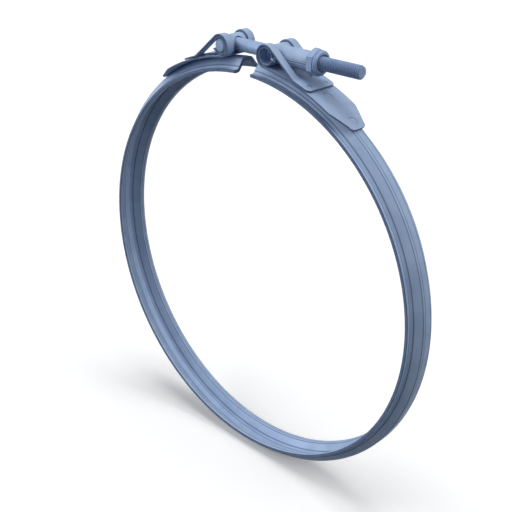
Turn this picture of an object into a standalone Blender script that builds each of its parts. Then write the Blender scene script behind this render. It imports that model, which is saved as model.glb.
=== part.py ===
"""V-band clamp with a T-bolt latch, for joining two round flanges of an exhaust or air duct.

A split ring of V section carries two folded straps. Their loops hold a T-bolt's cross head
and a trunnion, and a lock nut on the bolt draws the two loops together.
Metres, +Z up. The origin is the ring's centre, the ring's axis is Y, the split is at the top
and the bolt runs along +X.
"""
import math

import bmesh
import bpy
from mathutils import Matrix, Vector

# Clearances
FIT_GAP = 0.0003            # between two pieces that touch on the real clamp
RUNNING_GAP = 0.0004        # between the trunnion's lips and the strap that they pass under

# Retainer ring, formed from one strip of sheet
RING_INNER_RADIUS = 0.1028  # inside the two feet
RING_WIDTH = 0.0175
RING_SHEET = 0.0016
CROWN_HEIGHT = 0.00485      # from the feet out to the crown
CROWN_WIDTH = 0.0052        # between the corners of the two V walls, at mid sheet
V_HALF_ANGLE = math.radians(37)
RING_BEND = 0.0016          # every bend, at mid sheet
SPLIT_WIDTH = 0.0106        # between the ring's two ends, at the crown

# Straps, each one folded strip of sheet
STRAP_SHEET = 0.0008
STRAP_WIDTH = 0.0186
PIVOT_OFFSET = 0.0151       # each loop's axis from the middle of the split
LEG_SLOPE = math.radians(40)
LEG_BEND = 0.0040           # where the leg turns into its foot, at mid sheet
FOOT_LENGTH = 0.0090
FOOT_CORNER = 0.0024
PLATE_LENGTH = 0.05443      # along the crown, from under the loop's axis to the tip
TIP_WIDTH = 0.0104
TIP_TAPER = 0.0100          # length over which the plate narrows
TIP_CORNER = 0.0025
SLOT_CLEARANCE = 0.00035    # on each side of the trunnion's flanges
SLOT_CORNER = 0.0012
SLOT_DROP = math.radians(53)    # the slot starts this far below the loop's axis
SLOT_PAST_LEG = 0.0020      # the slot's round end runs this far into the foot's bend

# Cross tubes that lie in the loops: the head saddle on the left, the trunnion on the right
CROSS_INSET = 0.00025       # from each edge of the strap to the tube's end

# T-bolt
BOLT_RADIUS = 0.003175
HEAD_RADIUS = 0.0033
HEAD_PLAY = 0.0001          # what the head can shift along the bolt inside the saddle
HEAD_PROUD = 0.00015        # each end of the head past the saddle's
BOLT_REACH = 0.0796         # from the head's axis to the bolt's end
BOLT_CHAMFER = 0.0006
HEAD_CHAMFER = 0.0005

# Head saddle
SADDLE_SHEET = 0.0008
SADDLE_UPPER_END = math.radians(152)   # where its C stops above the opening
SADDLE_LOWER_END = math.radians(-142)  # where its C stops below the opening
CURL_BEND = 0.0011
CURL_TURN = math.radians(75)
EAR_WIDTH = 0.0024          # each curled ear, on both sides of the toe
WINDOW_CLEARANCE = 0.0005   # round the bolt where it leaves the saddle
TOE_START = math.radians(-112)  # where the toe leaves the middle of the C's sheet
TOE_LEAVE = math.radians(-124)  # where it turns down
TOE_DROP_LENGTH = 0.00827   # along the plate, from under the loop's axis to where the toe lands
TOE_REST_LENGTH = 0.00737   # what lies along the plate
TOE_BEND = 0.0013
EAR_GAP = 0.0003
TOE_SKIN = 0.00005          # the toe's sheet lies this far inside the saddle's where they join

# Trunnion
TRUNNION_SHEET = 0.00075
SLEEVE_CLEARANCE = 0.00045  # round the bolt, so that the bolt can rock
SLEEVE_REACH = 0.0214       # from the trunnion's axis to the sleeve's end
FLANGE_EDGE = 0.000275      # each flange past the sleeve's side
LIP_BEND = 0.0008
SEAM_DROP = 0.0007          # the seam lies below the bolt's axis
SEAM_GAP = 0.0003
SEAM_TRIM = 0.00002         # taken off both sides of the seam in one cut

# Lock nut
NUT_ACROSS_FLATS = 0.01111
NUT_LENGTH = 0.00556
HEX_LENGTH = 0.0036
HEX_CHAMFER = math.radians(30)
NUT_BORE_GAP = 0.0003
GROOVE_WIDTH = 0.0004
GROOVE_DEPTH = 0.0005
COLLAR_WALL = 0.000425      # round the locking ring's pocket, at the bottom of the groove
COLLAR_CHAMFER = 0.0009
COLLAR_LIP = 0.00035        # crimped over the locking ring
LIP_HOLD = 0.000375         # the lip covers this much of the ring, radially
LOCK_RING_WIDTH = 0.0006
LOCK_RING_DEPTH = 0.0010    # radial

# How finely round and bent shapes are divided
RING_STEPS = 88
RING_BEND_STEPS = 2
FOLD_STEP = math.radians(12)
PLATE_STEPS = 8
ROUND_STEPS = 32            # facets of a turned piece
CORNER_SHARES = (0, 0.134, 0.5, 1)      # of a rounded corner's radius, as far as it is along the strip
SLOT_END_ANGLES = tuple(math.radians(a) for a in (0, 20, 40, 60, 83))
MIDDLE_SHARE = 0.6          # of a blank's half width, where its inner lines have to stay inside its end

# Values that follow from the sizes above
SADDLE_INNER = HEAD_RADIUS + FIT_GAP + HEAD_PLAY
CROSS_RADIUS = SADDLE_INNER + SADDLE_SHEET
CROSS_LENGTH = STRAP_WIDTH - 2 * CROSS_INSET
HEAD_LENGTH = CROSS_LENGTH + 2 * HEAD_PROUD
FOOT_MID = RING_INNER_RADIUS + RING_SHEET / 2
CROWN_MID = FOOT_MID + CROWN_HEIGHT
CROWN_TOP = CROWN_MID + RING_SHEET / 2
PLATE_MID = CROWN_TOP + FIT_GAP + STRAP_SHEET / 2
PLATE_TOP = PLATE_MID + STRAP_SHEET / 2
LOOP_MID = CROSS_RADIUS + FIT_GAP + STRAP_SHEET / 2
PIVOT_RADIUS = PLATE_MID + LOOP_MID
PIVOT_Z = math.sqrt(PIVOT_RADIUS ** 2 - PIVOT_OFFSET ** 2)
PIVOT_ANGLE = math.asin(PIVOT_OFFSET / PIVOT_RADIUS)
PLATE_SPAN = PIVOT_ANGLE + PLATE_LENGTH / PLATE_MID
SADDLE_AXIS = Vector((-PIVOT_OFFSET, 0, PIVOT_Z))
HEAD_AXIS = SADDLE_AXIS + Vector((HEAD_PLAY, 0, 0))
TRUNNION_AXIS = Vector((PIVOT_OFFSET, 0, PIVOT_Z))
SLEEVE_BORE = BOLT_RADIUS + SLEEVE_CLEARANCE
SLEEVE_RADIUS = SLEEVE_BORE + TRUNNION_SHEET
FLANGE_WIDTH = 2 * (SLEEVE_RADIUS + FLANGE_EDGE)
SLOT_WIDTH = FLANGE_WIDTH + 2 * SLOT_CLEARANCE
NUT_START = TRUNNION_AXIS + Vector((SLEEVE_REACH + FIT_GAP, 0, 0))
NUT_BORE = BOLT_RADIUS + NUT_BORE_GAP
LOCK_RING_RADIUS = NUT_BORE + LOCK_RING_DEPTH
LOCK_POCKET_RADIUS = LOCK_RING_RADIUS + FIT_GAP
COLLAR_LIP_RADIUS = LOCK_RING_RADIUS - LIP_HOLD
GROOVE_RADIUS = LOCK_POCKET_RADIUS + COLLAR_WALL
COLLAR_RADIUS = GROOVE_RADIUS + GROOVE_DEPTH
LOCK_POCKET_END = NUT_LENGTH - COLLAR_LIP
LOCK_RING_START = LOCK_POCKET_END - FIT_GAP - LOCK_RING_WIDTH
LOCK_POCKET_START = LOCK_RING_START - FIT_GAP

ALONG_X = Vector((1, 0, 0))
ALONG_Y = Vector((0, 1, 0))
OVERCUT = 0.001             # how far a cutter stands past what it cuts
MERGE = 1e-7
SMOOTH_ANGLE = math.radians(35)


def steel(name, color, roughness, metallic):
    """A coated steel in one plain colour."""
    material = bpy.data.materials.new(name)
    material.use_nodes = True
    shader = material.node_tree.nodes["Principled BSDF"]
    shader.inputs["Base Color"].default_value = (*color, 1)
    shader.inputs["Roughness"].default_value = roughness
    shader.inputs["Metallic"].default_value = metallic
    return material


def finish_mesh(name, bm, material=None):
    """Close a bmesh's seams, turn its faces outwards and put it in the scene."""
    bmesh.ops.remove_doubles(bm, verts=bm.verts, dist=MERGE)
    bmesh.ops.recalc_face_normals(bm, faces=bm.faces)
    mesh = bpy.data.meshes.new(name)
    bm.to_mesh(mesh)
    bm.free()
    if material:
        mesh.materials.append(material)
    mesh.shade_smooth()
    mesh.set_sharp_from_angle(angle=SMOOTH_ANGLE)
    body = bpy.data.objects.new(name, mesh)
    bpy.context.collection.objects.link(body)
    return body


def set_origin(body, point):
    """Move an object's origin, so that it turns about its joint's axis."""
    body.data.transform(Matrix.Translation(-point))
    body.location = point


def combine(body, tool, operation):
    """Join, cut or intersect a body with a tool that is only a guide."""
    modifier = body.modifiers.new(tool.name, "BOOLEAN")
    modifier.operation = operation
    modifier.solver = "EXACT"
    modifier.object = tool
    tool.hide_render = True
    tool.display_type = "WIRE"


def turned(name, outline, origin, axis, material=None, steps=ROUND_STEPS):
    """Turn an outline of (along, radius) points about an axis. Its ends may lie on the axis."""
    bm = bmesh.new()
    side = ALONG_Y if axis == ALONG_X else ALONG_X
    verts = [bm.verts.new(origin + axis * along + side * radius) for along, radius in outline]
    edges = [bm.edges.new(pair) for pair in zip(verts, verts[1:])]
    if outline[0][1] > 0:
        edges.append(bm.edges.new((verts[-1], verts[0])))
    bmesh.ops.spin(bm, geom=verts + edges, cent=origin, axis=axis, angle=math.tau, steps=steps)
    return finish_mesh(name, bm, material)


def rod(name, radius, start, end, origin, axis, chamfer_start=0.0, chamfer_end=0.0, material=None):
    """A round bar from start to end along an axis through the origin given."""
    outline = [(start, 0), (start, radius - chamfer_start)]
    if chamfer_start:
        outline.append((start + chamfer_start, radius))
    if chamfer_end:
        outline.append((end - chamfer_end, radius))
    outline += [(end, radius - chamfer_end), (end, 0)]
    return turned(name, outline, origin, axis, material)


def block(name, low, high):
    """A box between two corners, for cutting or joining."""
    bm = bmesh.new()
    size = high - low
    matrix = Matrix.Translation((low + high) / 2) @ Matrix.Diagonal((*size, 1))
    bmesh.ops.create_cube(bm, size=1, matrix=matrix)
    return finish_mesh(name, bm)


class Bends:
    """The middle line of a sheet in the XZ plane, as straight runs and bends.

    A run is (length, turn): the turn is to the left when positive, and 0 for a straight run.
    """

    def __init__(self, start, heading):
        self.start = Vector(start)
        self.heading = heading
        self.runs = []

    @property
    def length(self):
        return sum(length for length, _ in self.runs)

    def straight(self, length):
        self.runs.append((length, 0.0))
        return self.length

    def bend(self, radius, turn):
        self.runs.append((radius * abs(turn), turn))
        return self.length

    def at(self, distance):
        """The point and the heading at a distance along the sheet."""
        point, heading = self.start.copy(), self.heading
        for length, turn in self.runs:
            part = min(distance, length)
            share = turn * part / length
            if turn:
                radius = length / turn
                left = Vector((-math.sin(heading), math.cos(heading)))
                end_left = Vector((-math.sin(heading + share), math.cos(heading + share)))
                point += (left - end_left) * radius
            else:
                point += Vector((math.cos(heading), math.sin(heading))) * part
            heading += share
            distance -= part
            if distance <= 0:
                break
        return point, heading

    def corners(self, step):
        """Distances at each run's ends, and inside each bend so that no facet turns more than step."""
        stops, distance = [0.0], 0.0
        for length, turn in self.runs:
            count = max(1, math.ceil(abs(turn) / step - 0.001))
            stops += [distance + length * (i + 1) / count for i in range(count)]
            distance += length
        return stops


def rounded_end(distance, half_width, radius):
    """The half width of a strip at a distance from its end, whose two corners are rounded."""
    if distance >= radius:
        return half_width
    return half_width - radius + math.sqrt(radius ** 2 - (radius - distance) ** 2)


def folded_sheet(name, bends, stops, thickness, half_width, line, solid, mirror=1, material=None):
    """Fold a flat blank along its bends.

    half_width and line give the blank's edge and the slot's edge at a distance along it, and
    solid says whether the middle, between the two slot edges, is there just past a distance.
    """
    bm = bmesh.new()
    stops = sorted(stops)
    stops = [stops[0]] + [b for a, b in zip(stops, stops[1:]) if b - a > 10 * MERGE]
    rows = []
    for stop in stops:
        point, heading = bends.at(stop)
        up = Vector((-math.sin(heading), math.cos(heading))) * thickness / 2
        wide = half_width(stop)
        narrow = min(line(stop), MIDDLE_SHARE * wide)
        row = []
        for face in (point + up, point - up):
            for y in (-wide, -narrow, narrow, wide):
                row.append(bm.verts.new((face.x * mirror, y, face.y)))
        rows.append(row)
    middles = [solid((a + b) / 2) for a, b in zip(stops, stops[1:])]

    def quad(*corners):
        bm.faces.new(corners)

    for a, b, middle in zip(rows, rows[1:], middles):
        for i in (0, 1, 2):
            if i != 1 or middle:
                quad(a[i], a[i + 1], b[i + 1], b[i])
                quad(a[i + 4], b[i + 4], b[i + 5], a[i + 5])
        quad(a[0], b[0], b[4], a[4])
        quad(a[3], a[7], b[7], b[3])
        if not middle:
            quad(a[1], a[5], b[5], b[1])
            quad(a[2], b[2], b[6], a[6])
    for row, middle in ((rows[0], middles[0]), (rows[-1], middles[-1])):
        for i in (0, 1, 2):
            if i != 1 or middle:
                quad(row[i], row[i + 4], row[i + 5], row[i + 1])
    for row, before, after in zip(rows[1:], middles, middles[1:]):
        if before != after:
            quad(row[1], row[2], row[6], row[5])
    return finish_mesh(name, bm, material)


def on_ring(radius, angle):
    """A point (x, z) at an angle from the middle of the split, towards +X."""
    return Vector((radius * math.sin(angle), radius * math.cos(angle)))


def around(centre, radius, angle):
    """A point (x, z) at an angle from +X about a centre."""
    return Vector((centre.x + radius * math.cos(angle), centre.z + radius * math.sin(angle)))


def ring_section():
    """The closed outline of the retainer's sheet, as (y, radius) points."""
    wall = math.pi / 2 - V_HALF_ANGLE
    cut = RING_BEND * math.tan(wall / 2)
    wall_length = CROWN_HEIGHT / math.sin(wall)
    root = CROWN_WIDTH / 2 + CROWN_HEIGHT / math.tan(wall)
    line = Bends((-RING_WIDTH / 2, FOOT_MID), 0.0)
    line.straight(RING_WIDTH / 2 - root - cut)
    line.bend(RING_BEND, wall)
    line.straight(wall_length - 2 * cut)
    line.bend(RING_BEND, -wall)
    line.straight(CROWN_WIDTH - 2 * cut)
    line.bend(RING_BEND, -wall)
    line.straight(wall_length - 2 * cut)
    line.bend(RING_BEND, wall)
    line.straight(RING_WIDTH / 2 - root - cut)
    outer, inner = [], []
    for stop in line.corners(wall / RING_BEND_STEPS):
        point, heading = line.at(stop)
        left = Vector((-math.sin(heading), math.cos(heading))) * RING_SHEET / 2
        outer.append(point + left)
        inner.append(point - left)
    return outer + inner[::-1]


def retainer_ring(material):
    half_split = math.asin(SPLIT_WIDTH / 2 / CROWN_TOP)
    bm = bmesh.new()
    start = Matrix.Rotation(half_split, 4, "Y")
    verts = [bm.verts.new(start @ Vector((0, y, radius))) for y, radius in ring_section()]
    edges = [bm.edges.new(pair) for pair in zip(verts, verts[1:] + verts[:1])]
    bmesh.ops.spin(bm, geom=verts + edges, cent=(0, 0, 0), axis=ALONG_Y,
                   angle=math.tau - 2 * half_split, steps=RING_STEPS)
    bmesh.ops.holes_fill(bm, edges=[edge for edge in bm.edges if edge.is_boundary])
    return finish_mesh("retainer_ring", bm, material)


def strap_bends():
    """The strap's middle line, from the plate's tip round the loop to the end of the foot."""
    line = Bends(on_ring(PLATE_MID, PLATE_SPAN), math.pi - PLATE_SPAN)
    line.bend(PLATE_MID, PLATE_SPAN - PIVOT_ANGLE)
    line.bend(LOOP_MID, -(math.pi - PIVOT_ANGLE + LEG_SLOPE))
    # The leg is as long as it takes for its bend to end flush on the foot's circle.
    foot_mid = PLATE_TOP + FIT_GAP + STRAP_SHEET / 2
    leg_start, _ = line.at(line.length)
    along = Vector((math.cos(LEG_SLOPE), -math.sin(LEG_SLOPE)))
    bend_centre = leg_start + Vector((math.sin(LEG_SLOPE), math.cos(LEG_SLOPE))) * LEG_BEND
    half = bend_centre.dot(along)
    leg = -half - math.sqrt(half ** 2 - bend_centre.length_squared + (foot_mid + LEG_BEND) ** 2)
    line.straight(leg)
    landing = bend_centre + along * leg
    foot_angle = math.atan2(landing.x, landing.y)
    line.bend(LEG_BEND, LEG_SLOPE - foot_angle)
    line.bend(foot_mid, -FOOT_LENGTH / foot_mid)
    return line


def strap(name, side, material):
    """One folded strap. side is 1 on the bolt's nut end and -1 on its head end."""
    line = strap_bends()
    plate, loop, leg = (line.runs[i][0] for i in range(3))
    slot_start = plate + loop * (math.pi / 2 - PIVOT_ANGLE - SLOT_DROP) / abs(line.runs[1][1])
    slot_end = plate + loop + leg + SLOT_PAST_LEG
    half_slot = SLOT_WIDTH / 2
    round_start = slot_end - half_slot
    apex = round_start + half_slot * math.sin(SLOT_END_ANGLES[-1])
    tip_shoulder = TIP_CORNER + TIP_TAPER

    def half_width(s):
        if s < TIP_CORNER:
            return rounded_end(s, TIP_WIDTH / 2, TIP_CORNER)
        if s < tip_shoulder:
            share = (s - TIP_CORNER) / TIP_TAPER
            return TIP_WIDTH / 2 + share * (STRAP_WIDTH - TIP_WIDTH) / 2
        return rounded_end(line.length - s, STRAP_WIDTH / 2, FOOT_CORNER)

    def slot_edge(s):
        if s < slot_start + SLOT_CORNER:
            return rounded_end(max(0, s - slot_start), half_slot, SLOT_CORNER)
        past = min(s, apex) - round_start
        return half_slot if past < 0 else math.sqrt(half_slot ** 2 - past ** 2)

    plate_stops = [i * plate / PLATE_STEPS for i in range(PLATE_STEPS + 1)]
    stops = [s for s in plate_stops if s > tip_shoulder + TIP_CORNER] + [TIP_CORNER, tip_shoulder]
    stops += [TIP_CORNER * share for share in CORNER_SHARES]
    stops += [s for s in line.corners(FOLD_STEP) if s >= plate]
    stops += [slot_start + SLOT_CORNER * share for share in CORNER_SHARES]
    stops += [round_start + half_slot * math.sin(angle) for angle in SLOT_END_ANGLES]
    stops += [line.length - FOOT_CORNER * share for share in CORNER_SHARES]
    return folded_sheet(name, line, stops, STRAP_SHEET, half_width, slot_edge,
                        lambda s: not slot_start < s < apex, side, material)


def t_bolt(material):
    """The cross head and the shank, forged as one."""
    half = HEAD_LENGTH / 2
    bolt = rod("t_bolt", BOLT_RADIUS, 0, BOLT_REACH, HEAD_AXIS, ALONG_X, 0, BOLT_CHAMFER, material)
    head = rod("bolt_head_guide", HEAD_RADIUS, -half, half, HEAD_AXIS, ALONG_Y, HEAD_CHAMFER, HEAD_CHAMFER)
    combine(bolt, head, "UNION")
    set_origin(bolt, HEAD_AXIS)
    return bolt


def head_saddle(material):
    """A C of sheet between the bolt's head and the left loops, with two curled ears and a toe."""
    mid = CROSS_RADIUS - SADDLE_SHEET / 2
    start = around(SADDLE_AXIS, mid, SADDLE_UPPER_END)
    line = Bends(start, SADDLE_UPPER_END - math.pi / 2)
    wrap = line.bend(mid, SADDLE_LOWER_END - SADDLE_UPPER_END)
    line.bend(CURL_BEND, CURL_TURN)
    half = CROSS_LENGTH / 2
    saddle = folded_sheet("head_saddle", line, line.corners(FOLD_STEP), SADDLE_SHEET,
                          lambda s: half, lambda s: half - EAR_WIDTH, lambda s: s < wrap, 1, material)

    # The toe leaves the C at its lower left, comes down and lies along the strap's plate.
    toe_mid = PLATE_TOP + FIT_GAP + SADDLE_SHEET / 2
    leave = mid / math.cos(TOE_LEAVE - TOE_START)
    land = PIVOT_ANGLE + TOE_DROP_LENGTH / toe_mid
    end = land + TOE_REST_LENGTH / toe_mid
    toe_line = filleted([around(SADDLE_AXIS, mid, TOE_START), around(SADDLE_AXIS, leave, TOE_LEAVE),
                         on_ring(toe_mid, -land), on_ring(toe_mid, -end)], TOE_BEND)
    toe_half = half - EAR_WIDTH - EAR_GAP
    toe_sheet = SADDLE_SHEET - 2 * TOE_SKIN
    toe = folded_sheet("saddle_toe_guide", toe_line, toe_line.corners(FOLD_STEP), toe_sheet,
                       lambda s: toe_half, lambda s: toe_half / 2, lambda s: True)
    combine(saddle, toe, "UNION")

    window_radius = BOLT_RADIUS + WINDOW_CLEARANCE
    window = rod("saddle_window_guide", window_radius, 0, CROSS_RADIUS + OVERCUT, SADDLE_AXIS, ALONG_X)
    combine(saddle, window, "DIFFERENCE")
    return saddle


def filleted(corners, radius):
    """Straight runs between corner points, with the same bend at each inner corner."""
    runs = [b - a for a, b in zip(corners, corners[1:])]
    headings = [math.atan2(run.y, run.x) for run in runs]
    turns = [math.remainder(b - a, math.tau) for a, b in zip(headings, headings[1:])]
    cuts = [0.0] + [radius * math.tan(abs(turn) / 2) for turn in turns] + [0.0]
    line = Bends(corners[0], headings[0])
    for i, run in enumerate(runs):
        line.straight(run.length - cuts[i] - cuts[i + 1])
        if i < len(turns):
            line.bend(radius, turns[i])
    return line


def trunnion(material):
    """A cross tube rolled from sheet, whose two lips meet and run on as a split sleeve."""
    mid = CROSS_RADIUS - TRUNNION_SHEET / 2
    inner = CROSS_RADIUS - TRUNNION_SHEET
    lip = (SEAM_GAP + TRUNNION_SHEET) / 2
    lip_stack = lip + TRUNNION_SHEET / 2
    upper_lip, lower_lip = -SEAM_DROP + lip, -SEAM_DROP - lip

    # The lips stop where their upper corner would meet the strap's leg.
    leg_inner = CROSS_RADIUS + FIT_GAP - RUNNING_GAP
    lip_reach = (leg_inner - (lip_stack - SEAM_DROP) * math.cos(LEG_SLOPE)) / math.sin(LEG_SLOPE)

    def lip_centre(height):
        return math.sqrt((mid + LIP_BEND) ** 2 - height ** 2)

    upper_bend, lower_bend = upper_lip + LIP_BEND, lower_lip - LIP_BEND
    upper_angle = math.asin(upper_bend / (mid + LIP_BEND))
    lower_angle = math.asin(lower_bend / (mid + LIP_BEND))
    start = Vector((TRUNNION_AXIS.x + lip_reach, TRUNNION_AXIS.z + upper_lip))
    line = Bends(start, math.pi)
    line.straight(lip_reach - lip_centre(upper_bend))
    line.bend(LIP_BEND, upper_angle - math.pi / 2)
    line.bend(mid, math.tau + lower_angle - upper_angle)
    line.bend(LIP_BEND, -math.pi / 2 - lower_angle)
    line.straight(lip_reach - lip_centre(lower_bend))
    half = CROSS_LENGTH / 2
    cross_tube = folded_sheet("trunnion", line, line.corners(FOLD_STEP), TRUNNION_SHEET,
                              lambda s: half, lambda s: half / 2, lambda s: True, 1, material)

    sleeve = rod("sleeve_guide", SLEEVE_RADIUS, 0, SLEEVE_REACH, TRUNNION_AXIS, ALONG_X)
    seam = TRUNNION_AXIS - Vector((0, 0, SEAM_DROP))
    flange = Vector((0, FLANGE_WIDTH / 2, lip_stack - SEAM_TRIM))
    flanges = block("flange_guide", seam - flange, seam + flange + Vector((SLEEVE_REACH - FIT_GAP, 0, 0)))
    combine(sleeve, flanges, "UNION")
    hollow = rod("hollow_guide", inner - SEAM_TRIM, -half, half, TRUNNION_AXIS, ALONG_Y)
    combine(sleeve, hollow, "DIFFERENCE")
    combine(cross_tube, sleeve, "UNION")
    far_end = SLEEVE_REACH + OVERCUT
    seam_size = Vector((0, half + OVERCUT, SEAM_GAP / 2 + SEAM_TRIM))
    seam_low = seam - seam_size + Vector((inner / 2, 0, 0))
    seam_high = seam + seam_size + Vector((far_end, 0, 0))
    combine(cross_tube, block("seam_guide", seam_low, seam_high), "DIFFERENCE")
    bore = rod("bore_guide", SLEEVE_BORE, -CROSS_RADIUS - OVERCUT, far_end, TRUNNION_AXIS, ALONG_X)
    combine(cross_tube, bore, "DIFFERENCE")
    set_origin(cross_tube, TRUNNION_AXIS)
    return cross_tube


def nut(material):
    """An all-metal lock nut: a hexagon, a groove and a collar crimped over a locking ring."""
    corner = NUT_ACROSS_FLATS / 2 / math.cos(math.pi / 6)
    face_radius = NUT_ACROSS_FLATS / 2
    rise = (corner - face_radius) * math.tan(HEX_CHAMFER)
    bm = bmesh.new()
    turn = Matrix.Rotation(math.pi / 2, 4, "Y")     # two corners up and down, two flats to the sides
    centre = Matrix.Translation(NUT_START + Vector((HEX_LENGTH / 2, 0, 0)))
    bmesh.ops.create_cone(bm, cap_ends=True, segments=6, radius1=corner, radius2=corner, depth=HEX_LENGTH,
                          matrix=centre @ turn @ Matrix.Rotation(math.pi / 6, 4, "Z"))
    body = finish_mesh("nut", bm, material)
    before, past = -OVERCUT, HEX_LENGTH + OVERCUT
    envelope = turned("hex_chamfer_guide",
                      [(before, 0), (before, face_radius), (0, face_radius), (rise, corner),
                       (HEX_LENGTH - rise, corner), (HEX_LENGTH, face_radius),
                       (past, face_radius), (past, 0)],
                      NUT_START, ALONG_X)
    combine(body, envelope, "INTERSECT")
    inside, collar_start = HEX_LENGTH - OVERCUT, HEX_LENGTH + GROOVE_WIDTH
    collar = turned("collar_guide",
                    [(inside, 0), (inside, GROOVE_RADIUS), (collar_start, GROOVE_RADIUS),
                     (collar_start, COLLAR_RADIUS), (NUT_LENGTH - COLLAR_CHAMFER, COLLAR_RADIUS),
                     (NUT_LENGTH, COLLAR_RADIUS - COLLAR_CHAMFER), (NUT_LENGTH, 0)],
                    NUT_START, ALONG_X)
    combine(body, collar, "UNION")
    past = NUT_LENGTH + OVERCUT
    bore = turned("nut_bore_guide",
                  [(before, 0), (before, NUT_BORE), (LOCK_POCKET_START, NUT_BORE),
                   (LOCK_POCKET_START, LOCK_POCKET_RADIUS), (LOCK_POCKET_END, LOCK_POCKET_RADIUS),
                   (LOCK_POCKET_END, COLLAR_LIP_RADIUS), (past, COLLAR_LIP_RADIUS), (past, 0)],
                  NUT_START, ALONG_X)
    combine(body, bore, "DIFFERENCE")
    set_origin(body, NUT_START)
    return body


def nut_lock_ring(material):
    """The spring-steel ring that grips the thread inside the nut's collar."""
    start, end = LOCK_RING_START, LOCK_RING_START + LOCK_RING_WIDTH
    ring = turned("nut_lock_ring", [(start, NUT_BORE), (end, NUT_BORE), (end, LOCK_RING_RADIUS),
                                    (start, LOCK_RING_RADIUS)], NUT_START, ALONG_X, material)
    set_origin(ring, NUT_START)
    return ring


def main():
    for old in list(bpy.data.objects):
        bpy.data.objects.remove(old)
    ring_steel = steel("ring_zinc_plated_sheet", (0.26, 0.32, 0.47), 0.42, 0.75)
    strap_steel = steel("strap_zinc_plated_sheet", (0.24, 0.30, 0.43), 0.45, 0.75)
    bolt_steel = steel("fastener_zinc_plated_steel", (0.27, 0.33, 0.46), 0.35, 0.85)
    spring_steel = steel("lock_ring_spring_steel", (0.20, 0.23, 0.30), 0.40, 0.90)
    retainer_ring(ring_steel)
    strap("strap_left", -1, strap_steel)
    strap("strap_right", 1, strap_steel)
    head_saddle(strap_steel)
    t_bolt(bolt_steel)
    trunnion(strap_steel)
    nut(bolt_steel)
    nut_lock_ring(spring_steel)


main()
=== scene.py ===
"""V-band clamp for round duct flanges: the dressed model.

The packed solids are the fixed frame. Each operator makes one piece, or a pair of like
pieces, with its fine shape and its finish, in the solids' place. Metres, +Z up: the ring's
axis is Y, the split is at the top and the bolt runs along +X.
"""
import math

import bmesh
import bpy
from bpy.props import FloatProperty, FloatVectorProperty, IntProperty, PointerProperty
from mathutils import Euler, Matrix, Vector


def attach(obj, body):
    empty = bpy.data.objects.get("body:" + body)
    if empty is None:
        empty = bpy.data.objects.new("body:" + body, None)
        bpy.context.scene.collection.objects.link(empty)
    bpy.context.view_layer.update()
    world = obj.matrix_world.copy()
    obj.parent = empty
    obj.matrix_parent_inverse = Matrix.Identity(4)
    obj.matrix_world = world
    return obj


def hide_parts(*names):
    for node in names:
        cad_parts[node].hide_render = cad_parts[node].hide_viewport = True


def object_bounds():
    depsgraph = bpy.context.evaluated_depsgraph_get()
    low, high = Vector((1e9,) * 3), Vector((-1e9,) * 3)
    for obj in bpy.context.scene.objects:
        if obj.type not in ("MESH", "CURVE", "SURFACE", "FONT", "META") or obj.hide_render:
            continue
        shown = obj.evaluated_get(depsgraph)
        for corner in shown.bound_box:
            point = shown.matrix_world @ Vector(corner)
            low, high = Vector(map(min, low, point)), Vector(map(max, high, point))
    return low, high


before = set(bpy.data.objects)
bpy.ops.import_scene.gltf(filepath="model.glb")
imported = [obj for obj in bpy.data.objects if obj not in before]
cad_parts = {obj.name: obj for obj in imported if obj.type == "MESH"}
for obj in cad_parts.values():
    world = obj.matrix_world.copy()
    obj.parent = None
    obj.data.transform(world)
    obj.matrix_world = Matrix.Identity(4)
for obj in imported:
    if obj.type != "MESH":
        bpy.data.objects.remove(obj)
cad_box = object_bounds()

bl_info = {
    "name": "V-band clamp",
    "version": (1, 0, 0),
    "blender": (4, 5, 0),
    "location": "3D View > Sidebar > Clamp",
    "description": "Makes a V-band clamp with a T-bolt latch, piece by piece",
    "category": "Add Mesh",
}

FIT_GAP = 0.0003            # between two pieces that touch on the real clamp
RUNNING_GAP = 0.0004        # between the trunnion's lips and the strap that they pass under
OVERCUT = 0.001             # how far a cutter stands past what it cuts
SKIN = 0.00004              # keeps two faces that would coincide apart
MERGE = 1e-7                # corners closer than this are one
ROW_GAP = 0.00004           # rows of a folded sheet closer than this are one
SLOT_LIMIT = 0.6            # a slot's edge stays inside this share of its strip's half width
FOLD_STEP = math.radians(5)     # the most that one part of a folded sheet turns
SECTION_STEP = math.radians(7)  # the same for the ring's section
SHARP_EDGE = math.radians(24)   # edges that turn more are shaded sharp
RING_MIDDLE = 0.106         # turns an angle round the ring into a length along its strip
ALONG_X = Vector((1, 0, 0))
ALONG_Y = Vector((0, 1, 0))
FACE, EDGE, ARRIS = 0, 1, 2     # a piece's material slots: faces, sheared edges, rounded corners

# Finishes
GRAIN_STRETCH = 0.035       # streaks are drawn out to 1 / 0.035 of their width
STREAK_SHARE, CLOUD_SHARE = 0.55, 0.65  # how far streaks and clouds turn the coat to its deep tone
ROLL_MARK_SHADE = 0.75      # how far the coat turns to the mark's colour in a roll mark
GLOSS_SPREAD = 0.06         # how far the roughness strays, up and down
SPECULAR = 0.18             # the coat is matt, and barely shows the white studio round it

# The thread's form, in shares of half a pitch, and its depth in pitches
ROOT_FLAT, FLANK = 0.167, 0.708
THREAD_DEPTH = 0.6134
RUN_IN = 0.35               # how fast the first turn deepens along the bolt
END_CLOSING = 6.0           # how fast the rows past the end close down on the end face
THREAD_SEAM = 0.000002      # closes the wound sheet's seam
SHANK_SEAM = 0.000003       # joins the thread to the shank

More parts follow.
